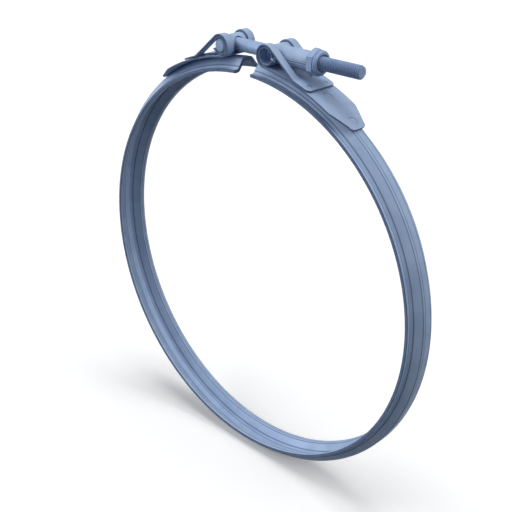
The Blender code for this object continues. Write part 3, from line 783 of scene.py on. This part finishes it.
def thread_tree(rows_per_turn, columns):
    """Winds a thread about X: a sheet of points whose rows climb one pitch in each turn.

    Rows before the start lie on the shank's last circle, and rows past the end close down on
    the bolt's end face.
    """
    lengths = ("Start", "End", "Pitch", "Radius", "Depth", "Chamfer", "Height")
    tree, given = sized_tree("wound_thread", {**dict.fromkeys(lengths, "NodeSocketFloat"),
                                              "Turns": "NodeSocketInt", "Material": "NodeSocketMaterial"})

    def value(first, operation, second=None, third=None, clamp=False):
        inputs = {i: item for i, item in enumerate((first, second, third)) if item is not None}
        return add(tree, "ShaderNodeMath", inputs, operation=operation, use_clamp=clamp)

    rows = value(given.outputs["Turns"], "MULTIPLY_ADD", float(rows_per_turn), 1.0)
    sheet = add(tree, "GeometryNodeMeshGrid", {"Size X": 1.0, "Size Y": 1.0, "Vertices X": columns + 1,
                                               "Vertices Y": rows})
    spot = add(tree, "ShaderNodeSeparateXYZ", {0: add(tree, "GeometryNodeInputPosition")})
    round_share = value(spot.outputs["X"], "ADD", 0.5)
    climb = value(value(spot.outputs["Y"], "ADD", 0.5), "MULTIPLY", given.outputs["Turns"])
    turn = value(round_share, "MULTIPLY", math.tau)
    pitches = value(value(climb, "ADD", round_share), "SUBTRACT", 1.0)
    past_start = value(pitches, "MULTIPLY", given.outputs["Pitch"])
    along = value(past_start, "ADD", given.outputs["Start"])
    short = value(along, "MINIMUM", given.outputs["End"])
    clipped = value(short, "MAXIMUM", given.outputs["Start"])

    phase = value(climb, "FRACT")
    slope = value(value(value(phase, "SUBTRACT", 0.5), "ABSOLUTE"), "MULTIPLY", 2.0)
    crest = value(value(slope, "SUBTRACT", ROOT_FLAT), "DIVIDE", FLANK, clamp=True)
    valley = value(1.0, "SUBTRACT", crest)
    cut = value(valley, "MULTIPLY", given.outputs["Depth"])
    run_in = value(past_start, "MULTIPLY", RUN_IN)
    gentle = value(value(cut, "MINIMUM", run_in), "MAXIMUM", 0.0)
    ridge = value(given.outputs["Radius"], "SUBTRACT", gentle)
    end_radius = value(given.outputs["Radius"], "SUBTRACT", given.outputs["Chamfer"])
    left = value(given.outputs["End"], "SUBTRACT", along)
    cone = value(end_radius, "ADD", left)
    closing = value(left, "MULTIPLY_ADD", END_CLOSING, end_radius)
    radius = value(value(value(ridge, "MINIMUM", cone), "MINIMUM", closing), "MAXIMUM", 0.0)

    y = value(radius, "MULTIPLY", value(turn, "COSINE"))
    z = value(value(radius, "MULTIPLY", value(turn, "SINE")), "ADD", given.outputs["Height"])
    wound = add(tree, "ShaderNodeCombineXYZ", {"X": clipped, "Y": y, "Z": z})
    depth = value(gentle, "DIVIDE", given.outputs["Depth"])
    on_thread = value(left, "GREATER_THAN", 0.0)
    kept = value(depth, "MULTIPLY", on_thread)
    # The depth is noted on the flat sheet, because it is worked out from where its points lie.
    noted = add(tree, "GeometryNodeStoreNamedAttribute", {
        "Geometry": sheet, "Name": "thread_depth", "Value": kept}, data_type="FLOAT", domain="POINT")
    shaped = add(tree, "GeometryNodeSetPosition", {"Geometry": noted, "Position": wound})
    closed = add(tree, "GeometryNodeMergeByDistance", {"Geometry": shaped, "Distance": THREAD_SEAM})
    finish_tree(tree, closed, given)
    return tree


# Pieces

class CLAMP_OT_retainer_ring(bpy.types.Operator):
    """Make the split V-section ring"""
    bl_idname = "clamp.retainer_ring"
    bl_label = "Retainer ring"

    def section(self, ring):
        """The closed outline of the ring's sheet about its foot, with rounded sheared edges."""
        wall = math.pi / 2 - ring.v_half_angle
        cut = ring.bend * math.tan(wall / 2)
        slope = ring.crown_height / math.sin(wall) - 2 * cut
        foot = ring.width / 2 - ring.crown_width / 2 - ring.crown_height / math.tan(wall) - cut
        line = FoldLine((-ring.width / 2, 0), 0.0)
        line.straight(foot)
        line.bend(ring.bend, wall)
        line.straight(slope)
        line.bend(ring.bend, -wall)
        line.straight(ring.crown_width - 2 * cut)
        line.bend(ring.bend, -wall)
        line.straight(slope)
        line.bend(ring.bend, wall)
        line.straight(foot)
        outer, inner = [], []
        for place in line.stops(SECTION_STEP, longest=1.0):
            point, heading = line.at(place)
            left = Vector((-math.sin(heading), math.cos(heading))) * ring.sheet / 2
            outer.append(point + left)
            inner.append(point - left)
        return soften(outer + inner[::-1], ring.edge, parts=3, closed=True)[0]

    def execute(self, context):
        ring = context.scene.clamp_ring
        places = Places(context.scene)
        materials = finishes(context, "ring_sheet")
        bm = bmesh.new()
        verts = [bm.verts.new((point.y, point.x, 0)) for point in self.section(ring)]
        for pair in zip(verts, verts[1:] + verts[:1]):
            bm.edges.new(pair)
        mesh = bpy.data.meshes.new("retainer_ring_sheet")
        bm.to_mesh(mesh)
        bm.free()
        piece = bpy.data.objects.new("retainer_ring_sheet", mesh)
        context.scene.collection.objects.link(piece)
        # The solid's ring has fewer facets, so this one is a hair smaller to stay inside it.
        grow(piece, sweep_tree(), {"Radius": places.foot_mid - SKIN,
                                   "Half Split": math.asin(ring.split / 2 / places.crown_top),
                                   "Steps": ring.steps, "Material": materials[FACE]})
        for extra in (EDGE, ARRIS):
            piece.data.materials.append(materials[extra])
        bm = bmesh.new()
        bm.from_mesh(piece.data)
        bmesh.ops.remove_doubles(bm, verts=bm.verts, dist=MERGE)
        bmesh.ops.recalc_face_normals(bm, faces=bm.faces)
        # The rims and the end caps take the sheared edges' darker colour, a painted shade.
        rim = ring.width / 2
        for face in bm.faces:
            reach = abs(face.calc_center_median().y)
            if reach > rim - MERGE or len(face.verts) > 4:
                face.material_index = EDGE
            elif reach > rim - ring.edge:
                face.material_index = ARRIS
            else:
                face.material_index = FACE
        bm.to_mesh(piece.data)
        bm.free()
        round_edges(piece, ring.edge / 2)
        dress(piece, "clamp_band", "retainer_ring")
        return {"FINISHED"}


class CLAMP_OT_straps(bpy.types.Operator):
    """Make the two folded straps, with their slots and weld marks"""
    bl_idname = "clamp.straps"
    bl_label = "Straps"

    def line(self, strap, places):
        """The strap's middle line, from the plate's tip round the loop to the end of the foot."""
        line = FoldLine(on_ring(places.plate_mid, places.plate_span), math.pi - places.plate_span)
        line.bend(places.plate_mid, places.plate_span - places.pivot_angle)
        line.bend(places.loop_mid, -(math.pi - places.pivot_angle + strap.leg_slope))
        leg_start, _ = line.at(line.length)
        slope = strap.leg_slope
        along = Vector((math.cos(slope), -math.sin(slope)))
        bend_centre = leg_start + Vector((math.sin(slope), math.cos(slope))) * strap.leg_bend
        half = bend_centre.dot(along)
        reach = places.strap_foot_mid + strap.leg_bend
        leg = -half - math.sqrt(half ** 2 - bend_centre.length_squared + reach ** 2)
        line.straight(leg)
        landing = bend_centre + along * leg
        line.bend(strap.leg_bend, slope - math.atan2(landing.x, landing.y))
        line.bend(places.strap_foot_mid, -strap.foot_length / places.strap_foot_mid)
        return line

    def weld_mark(self, strap, turn, radius, y, size, core, side, materials):
        """A cutter for the shallow print of a welding electrode, square to the strap."""
        out = Vector((side * math.sin(turn), 0, math.cos(turn)))
        depth, over = strap.weld_depth, strap.sheet / 4
        outline = [(-depth, core), (-depth, size), (over, size + depth + over)]
        outline.append((over, max(core - depth - over, 0)))
        return turned("weld_mark", outline, out * radius + ALONG_Y * y, out, materials, steps=40,
                      dark_runs=(1,))

    def make(self, context, name, side):
        strap = context.scene.clamp_strap
        places = Places(context.scene)
        materials = finishes(context, "strap_sheet")
        line = self.line(strap, places)
        plate, loop, leg = (line.runs[i][0] for i in range(3))
        loop_share = (math.pi / 2 - places.pivot_angle - strap.slot_drop) / abs(line.runs[1][1])
        slot_start = plate + loop * loop_share
        slot_end = plate + loop + leg + strap.slot_past_leg
        half_slot = places.slot_width / 2
        round_start = slot_end - half_slot
        # The slot's round end stops at the last of its turns, where it is nearly closed.
        end_turns = [math.radians(a) for a in (0, 10, 20, 30, 40, 50, 60, 70, 79, 86)]
        apex = round_start + half_slot * math.sin(end_turns[-1])
        tip_shoulder = strap.tip_corner + strap.tip_taper

        def half_width(s):
            if s < strap.tip_corner:
                return rounded_end(s, strap.tip_width / 2, strap.tip_corner)
            if s < tip_shoulder:
                share = (s - strap.tip_corner) / strap.tip_taper
                return strap.tip_width / 2 + share * (strap.width - strap.tip_width) / 2
            return rounded_end(line.length - s, strap.width / 2, strap.foot_corner)

        def slot_edge(s):
            if s < slot_start + strap.slot_corner:
                return rounded_end(max(0, s - slot_start), half_slot, strap.slot_corner)
            past = min(s, apex) - round_start
            return half_slot if past < 0 else math.sqrt(half_slot ** 2 - past ** 2)

        stops = [s for s in line.stops(FOLD_STEP) if s > tip_shoulder + strap.tip_corner]
        stops += [strap.tip_corner, tip_shoulder, (strap.tip_corner + tip_shoulder) / 2]
        stops += corner_places(strap.tip_corner)
        stops += [slot_start + s for s in corner_places(strap.slot_corner)]
        stops += [round_start + half_slot * math.sin(turn) for turn in end_turns]
        stops += [line.length - s for s in corner_places(strap.foot_corner)]
        piece = folded(name, line, stops, strap.sheet, half_width, slot_edge,
                       lambda s: not slot_start < s < apex, materials, side)
        round_edges(piece, context.scene.clamp_latch.edge)
        top = places.plate_top
        foot_top = places.strap_foot_mid + strap.sheet / 2
        foot_turn = math.atan2(line.at(line.length)[0].x, line.at(line.length)[0].y)
        foot_mark = foot_turn - strap.foot_weld_inset / foot_top
        marks = [(place / top, top, 0, strap.weld_radius, strap.weld_core)
                 for place in (strap.first_weld, strap.second_weld)]
        marks += [(foot_mark, foot_top, y, strap.small_weld_radius, 0)
                  for y in (-strap.foot_weld_offset, strap.foot_weld_offset)]
        for turn, radius, y, size, core in marks:
            combine(piece, self.weld_mark(strap, turn, radius, y, size, core, side, materials), "DIFFERENCE")
        dress(piece, "clamp_band", "strap_right" if side > 0 else "strap_left")

    def execute(self, context):
        self.make(context, "strap_right_folded", 1)
        self.make(context, "strap_left_folded", -1)
        return {"FINISHED"}


class CLAMP_OT_head_saddle(bpy.types.Operator):
    """Make the saddle between the bolt's cross head and the left loops"""
    bl_idname = "clamp.head_saddle"
    bl_label = "Head saddle"

    def execute(self, context):
        latch = context.scene.clamp_latch
        places = Places(context.scene)
        materials = finishes(context, "pressed_sheet")
        mid = places.cross_radius - latch.saddle_sheet / 2
        start = around(places.saddle_axis, mid, latch.saddle_upper_end)
        line = FoldLine(start, latch.saddle_upper_end - math.pi / 2)
        wrap = line.bend(mid, latch.saddle_lower_end - latch.saddle_upper_end)
        line.bend(latch.curl_bend, latch.curl_turn)
        half = places.cross_length / 2
        piece = folded("head_saddle_pressed", line, line.stops(FOLD_STEP), latch.saddle_sheet,
                       lambda s: half, lambda s: half - latch.ear_width, lambda s: s < wrap, materials)
        round_edges(piece, latch.edge)

        toe_mid = places.plate_top + FIT_GAP + latch.saddle_sheet / 2
        leave = mid / math.cos(latch.toe_leave - latch.toe_start)
        land = places.pivot_angle + latch.toe_drop / toe_mid
        end = land + latch.toe_rest / toe_mid
        toe_line = fillet_line([around(places.saddle_axis, mid, latch.toe_start),
                                around(places.saddle_axis, leave, latch.toe_leave),
                                on_ring(toe_mid, -land), on_ring(toe_mid, -end)], latch.toe_bend)
        toe_half = half - latch.ear_width - latch.ear_gap
        toe = folded("saddle_toe", toe_line, toe_line.stops(FOLD_STEP), latch.saddle_sheet - 2 * SKIN,
                     lambda s: toe_half, lambda s: toe_half / 2, lambda s: True, materials)
        round_edges(toe, latch.edge)
        combine(piece, toe, "UNION")
        window_radius = latch.bolt_radius + latch.window_clearance
        window = rod("saddle_window", 0, places.cross_radius + OVERCUT, window_radius, places.saddle_axis,
                     ALONG_X, materials)
        combine(piece, window, "DIFFERENCE")
        dress(piece, "clamp_band", "head_saddle")
        return {"FINISHED"}


class CLAMP_OT_t_bolt(bpy.types.Operator):
    """Make the T-bolt: its cross head, its shank and its wound thread"""
    bl_idname = "clamp.t_bolt"
    bl_label = "T-bolt"

    def execute(self, context):
        latch = context.scene.clamp_latch
        places = Places(context.scene)
        materials = finishes(context, "fastener")
        columns, rows = 48, 10      # round the bolt, and along each pitch of its thread
        start = places.head_axis.x + latch.thread_start
        end = places.head_axis.x + latch.bolt_reach
        turns = math.ceil((end - start) / latch.pitch) + 3
        seed = bpy.data.objects.new("thread_seed", bpy.data.meshes.new("thread_seed"))
        context.scene.collection.objects.link(seed)
        grow(seed, thread_tree(rows, columns), {
            "Start": start, "End": end, "Pitch": latch.pitch, "Radius": latch.bolt_radius,
            "Depth": THREAD_DEPTH * latch.pitch, "Chamfer": latch.bolt_chamfer, "Height": places.head_axis.z,
            "Turns": turns, "Material": materials[FACE]})

        # The thread's first row lies on the shank's last circle, where the two are welded.
        bm = bmesh.new()
        bm.from_mesh(seed.data)
        bpy.data.objects.remove(seed)
        circle = [Vector((0, math.cos(math.tau * i / columns), math.sin(math.tau * i / columns)))
                  for i in range(columns)]
        rows_of_shank = []
        for x in (places.head_axis.x, start):
            centre = Vector((x, 0, places.head_axis.z))
            rows_of_shank.append([bm.verts.new(centre + spot * latch.bolt_radius) for spot in circle])
        for i in range(columns):
            k = (i + 1) % columns
            bm.faces.new([rows_of_shank[0][i], rows_of_shank[0][k], rows_of_shank[1][k], rows_of_shank[1][i]])
        bm.faces.new(rows_of_shank[0])
        bmesh.ops.remove_doubles(bm, verts=bm.verts, dist=SHANK_SEAM)
        bmesh.ops.dissolve_degenerate(bm, edges=bm.edges, dist=MERGE)
        for face in bm.faces:
            face.material_index = FACE
        piece = new_piece("t_bolt_threaded", bm, materials)

        half = places.cross_length / 2 + latch.head_proud
        radius, chamfer = latch.head_radius, latch.head_chamfer
        head = turned("bolt_head", [(-half, 0), (-half, radius - chamfer), (-half + chamfer, radius),
                                    (half - chamfer, radius), (half, radius - chamfer), (half, 0)],
                      places.head_axis, ALONG_Y, materials, latch.edge, 64)
        combine(piece, head, "UNION")
        # The union leaves chance depths on the head's own corners.
        depths = piece.data.attributes["thread_depth"].data
        for vert in piece.data.vertices:
            if vert.co.x < start:
                depths[vert.index].value = 0.0
        dress(piece, "t_bolt", "t_bolt")
        return {"FINISHED"}


class CLAMP_OT_trunnion(bpy.types.Operator):
    """Make the trunnion: a rolled cross tube whose lips run on as a split sleeve"""
    bl_idname = "clamp.trunnion"
    bl_label = "Trunnion"

    def execute(self, context):
        latch, strap = context.scene.clamp_latch, context.scene.clamp_strap
        places = Places(context.scene)
        materials = finishes(context, "pressed_sheet")
        sheet, axis = latch.trunnion_sheet, places.trunnion_axis
        mid = places.cross_radius - sheet / 2
        inner = places.cross_radius - sheet
        lip = (latch.seam_gap + sheet) / 2
        stack = lip + sheet / 2
        upper_lip, lower_lip = -latch.seam_drop + lip, -latch.seam_drop - lip
        leg_inner = places.cross_radius + FIT_GAP - RUNNING_GAP
        # The lips end where the strap's sloping leg passes over them.
        slope = strap.leg_slope
        reach = (leg_inner - (stack - latch.seam_drop) * math.cos(slope)) / math.sin(slope)

        def lip_centre(height):
            """How far along X the centre of a lip's bend lies from the tube's axis."""
            return math.sqrt((mid + latch.lip_bend) ** 2 - height ** 2)

        upper_bend, lower_bend = upper_lip + latch.lip_bend, lower_lip - latch.lip_bend
        upper_turn = math.asin(upper_bend / (mid + latch.lip_bend))
        lower_turn = math.asin(lower_bend / (mid + latch.lip_bend))
        line = FoldLine((axis.x + reach, axis.z + upper_lip), math.pi)
        line.straight(reach - lip_centre(upper_bend))
        line.bend(latch.lip_bend, upper_turn - math.pi / 2)
        line.bend(mid, math.tau + lower_turn - upper_turn)
        line.bend(latch.lip_bend, -math.pi / 2 - lower_turn)
        line.straight(reach - lip_centre(lower_bend))
        half = places.cross_length / 2
        piece = folded("trunnion_pressed", line, line.stops(FOLD_STEP), sheet, lambda s: half,
                       lambda s: half / 2, lambda s: True, materials)
        round_edges(piece, latch.edge)

        sleeve = rod("sleeve", 0, latch.sleeve_reach, places.sleeve_radius, axis, ALONG_X, materials,
                     latch.edge)
        seam = axis - Vector((0, 0, latch.seam_drop))
        flange = Vector((0, places.flange_width / 2, stack - SKIN))
        flanges = block("flanges", seam - flange, seam + flange + ALONG_X * (latch.sleeve_reach - FIT_GAP),
                        materials)
        round_edges(flanges, latch.edge)
        combine(sleeve, flanges, "UNION")
        combine(sleeve, rod("hollow", -half, half, inner - SKIN, axis, ALONG_Y, materials), "DIFFERENCE")
        combine(piece, sleeve, "UNION")
        far = latch.sleeve_reach + OVERCUT
        size = Vector((0, half + OVERCUT, latch.seam_gap / 2 + SKIN))
        seam_cut = block("seam_cut", seam - size + ALONG_X * inner / 2, seam + size + ALONG_X * far,
                         materials)
        combine(piece, seam_cut, "DIFFERENCE")
        bore = rod("bore", -places.cross_radius - OVERCUT, far, places.sleeve_bore, axis, ALONG_X, materials)
        combine(piece, bore, "DIFFERENCE")
        dress(piece, "trunnion", "trunnion")
        return {"FINISHED"}


class CLAMP_OT_lock_nut(bpy.types.Operator):
    """Make the lock nut and the locking ring inside its collar"""
    bl_idname = "clamp.lock_nut"
    bl_label = "Lock nut"

    def execute(self, context):
        latch = context.scene.clamp_latch
        places = Places(context.scene)
        materials = finishes(context, "fastener")
        face_radius = latch.nut_across_flats / 2
        corner = face_radius / math.cos(math.pi / 6)
        bm = bmesh.new()
        ends = []
        for x in (0, latch.hex_length):
            ends.append([bm.verts.new(places.nut_start + Vector((x, corner * math.sin(math.pi / 3 * i),
                                                                  corner * math.cos(math.pi / 3 * i))))
                         for i in range(6)])
        for i in range(6):
            k = (i + 1) % 6
            bm.faces.new([ends[0][i], ends[0][k], ends[1][k], ends[1][i]])
        bm.faces.new(ends[0])
        bm.faces.new(ends[1])
        piece = new_piece("nut_turned", bm, materials)
        round_edges(piece, latch.edge, limit=50)
        rise = (corner - face_radius) * math.tan(latch.hex_chamfer)
        past = latch.hex_length + OVERCUT
        envelope = [(-OVERCUT, 0), (-OVERCUT, face_radius), (0, face_radius), (rise, corner),
                    (latch.hex_length - rise, corner), (latch.hex_length, face_radius),
                    (past, face_radius), (past, 0)]
        combine(piece, turned("hex_chamfer", envelope, places.nut_start, ALONG_X, materials), "INTERSECT")
        inside, collar_start = latch.hex_length - OVERCUT, latch.hex_length + latch.groove_width
        collar = [(inside, 0), (inside, places.groove_radius), (collar_start, places.groove_radius),
                  (collar_start, places.collar_radius),
                  (latch.nut_length - latch.collar_chamfer, places.collar_radius),
                  (latch.nut_length, places.collar_radius - latch.collar_chamfer), (latch.nut_length, 0)]
        combine(piece, turned("collar", collar, places.nut_start, ALONG_X, materials, latch.edge / 2),
                "UNION")
        past = latch.nut_length + OVERCUT
        bore = [(-OVERCUT, 0), (-OVERCUT, places.nut_bore), (places.pocket_start, places.nut_bore),
                (places.pocket_start, places.pocket_radius), (places.pocket_end, places.pocket_radius),
                (places.pocket_end, places.lip_radius), (past, places.lip_radius), (past, 0)]
        combine(piece, turned("nut_bore", bore, places.nut_start, ALONG_X, materials), "DIFFERENCE")
        dress(piece, "nut", "nut")

        start = places.lock_ring_start
        stop = start + latch.lock_ring_width
        spring = finishes(context, "spring")
        lock_ring = turned("nut_lock_ring_spring", [(start, places.nut_bore), (stop, places.nut_bore),
                                                    (stop, places.lock_ring_radius),
                                                    (start, places.lock_ring_radius)],
                           places.nut_start, ALONG_X, spring, latch.edge)
        dress(lock_ring, "lock_ring", "nut_lock_ring")
        return {"FINISHED"}


class CLAMP_OT_stage(bpy.types.Operator):
    """Make the pale floor, the soft studio light and the camera"""
    bl_idname = "clamp.stage"
    bl_label = "Stage"

    def seen_directly(self, tree):
        """1 for the camera and for what metal or glass shows, 0 for light on matt surfaces."""
        path = add(tree, "ShaderNodeLightPath").outputs
        seen = add(tree, "ShaderNodeMath", {0: path["Is Camera Ray"], 1: path["Is Glossy Ray"]},
                   operation="MAXIMUM")
        return add(tree, "ShaderNodeMath", {0: seen, 1: path["Is Transmission Ray"]}, operation="MAXIMUM")

    def floor(self, context, height):
        bm = bmesh.new()
        bmesh.ops.create_grid(bm, x_segments=1, y_segments=1, size=FLOOR_REACH,
                              matrix=Matrix.Translation((0, 0, height)))
        material = bpy.data.materials.new("pale_studio_floor")
        material.use_nodes = True
        tree = material.node_tree
        tree.nodes.clear()
        tint = (*context.scene.clamp_finish.floor, 1)
        # Matt white board. It shows white where it is lit, and gives little light back upwards.
        matt = add(tree, "ShaderNodeBsdfDiffuse", {"Color": tint})
        glow = add(tree, "ShaderNodeEmission", {"Color": tint, "Strength": FLOOR_GLOW})
        shown = add(tree, "ShaderNodeAddShader", {0: matt, 1: glow})
        dim = add(tree, "ShaderNodeBsdfDiffuse", {"Color": FLOOR_BOUNCE})
        both = add(tree, "ShaderNodeMixShader", {0: self.seen_directly(tree), 1: dim, 2: shown})
        add(tree, "ShaderNodeOutputMaterial", {"Surface": both})
        mesh = bpy.data.meshes.new("floor")
        bm.to_mesh(mesh)
        bm.free()
        mesh.materials.append(material)
        floor = bpy.data.objects.new("floor", mesh)
        context.scene.collection.objects.link(floor)

    def sun(self, context, name, towards, strength, spread):
        light = bpy.data.lights.new(name, "SUN")
        light.energy = strength
        light.angle = spread
        lamp = bpy.data.objects.new(name, light)
        lamp.rotation_mode = "QUATERNION"
        lamp.rotation_quaternion = Vector(towards).to_track_quat("Z", "Y")
        context.scene.collection.objects.link(lamp)

    def world(self, context, ambient):
        world = bpy.data.worlds.new("studio")
        world.use_nodes = True
        tree = world.node_tree
        tree.nodes.clear()
        white = add(tree, "ShaderNodeBackground", {"Color": (1, 1, 1, 1), "Strength": 1.0})
        soft = add(tree, "ShaderNodeBackground", {"Color": SKY_TINT, "Strength": ambient})
        both = add(tree, "ShaderNodeMixShader", {0: self.seen_directly(tree), 1: soft, 2: white})
        add(tree, "ShaderNodeOutputWorld", {"Surface": both})
        context.scene.world = world

    def camera(self, context, stage):
        turn, rise = stage.camera_azimuth, stage.camera_elevation
        back = Vector((math.sin(turn) * math.cos(rise), -math.cos(turn) * math.cos(rise), math.sin(rise)))
        right = Vector((math.cos(turn), math.sin(turn), 0))
        up = back.cross(right)
        lens = bpy.data.cameras.new("photo_camera")
        lens.sensor_width = 36
        lens.lens = stage.lens
        lens.clip_start, lens.clip_end = 0.01, 50
        camera = bpy.data.objects.new("photo_camera", lens)
        eye = right * stage.camera_right + up * stage.camera_up + back * stage.camera_distance
        camera.matrix_world = Matrix.Translation(eye) @ Matrix((right, up, back)).transposed().to_4x4()
        context.scene.collection.objects.link(camera)
        context.scene.camera = camera

    def execute(self, context):
        stage = context.scene.clamp_stage
        self.floor(context, cad_box[0].z - FLOOR_DROP)
        self.sun(context, "overhead_light", OVERHEAD, stage.overhead, stage.overhead_spread)
        self.sun(context, "front_light", LEFT_FRONT, stage.front, stage.side_spread)
        self.sun(context, "right_light", RIGHT, stage.right, stage.side_spread)
        self.world(context, stage.ambient)
        self.camera(context, stage)
        context.scene.view_settings.view_transform = "Standard"
        return {"FINISHED"}


OPERATORS = (CLAMP_OT_retainer_ring, CLAMP_OT_straps, CLAMP_OT_head_saddle, CLAMP_OT_t_bolt,
             CLAMP_OT_trunnion, CLAMP_OT_lock_nut, CLAMP_OT_stage)
GROUPS = {"clamp_ring": RingSizes, "clamp_strap": StrapSizes, "clamp_latch": LatchSizes,
          "clamp_finish": FinishColours, "clamp_stage": StageSettings}


class CLAMP_PT_pieces(bpy.types.Panel):
    """Lists the clamp's pieces and their sizes"""
    bl_idname = "CLAMP_PT_pieces"
    bl_label = "V-band clamp"
    bl_space_type = "VIEW_3D"
    bl_region_type = "UI"
    bl_category = "Clamp"

    def draw(self, context):
        for operator in OPERATORS:
            self.layout.operator(operator.bl_idname)
        for name, group in GROUPS.items():
            box = self.layout.box()
            box.label(text=group.__doc__)
            for prop in group.__annotations__:
                box.prop(getattr(context.scene, name), prop)


def register():
    for group in GROUPS.values():
        bpy.utils.register_class(group)
    for name, group in GROUPS.items():
        setattr(bpy.types.Scene, name, PointerProperty(type=group))
    for operator in OPERATORS:
        bpy.utils.register_class(operator)
    bpy.utils.register_class(CLAMP_PT_pieces)


def unregister():
    bpy.utils.unregister_class(CLAMP_PT_pieces)
    for operator in reversed(OPERATORS):
        bpy.utils.unregister_class(operator)
    for name, group in reversed(list(GROUPS.items())):
        delattr(bpy.types.Scene, name)
        bpy.utils.unregister_class(group)


def main():
    register()
    bpy.ops.clamp.retainer_ring()
    bpy.ops.clamp.straps()
    bpy.ops.clamp.head_saddle()
    bpy.ops.clamp.t_bolt()
    bpy.ops.clamp.trunnion()
    bpy.ops.clamp.lock_nut()
    bpy.ops.clamp.stage()


if __name__ == "__main__":
    main()
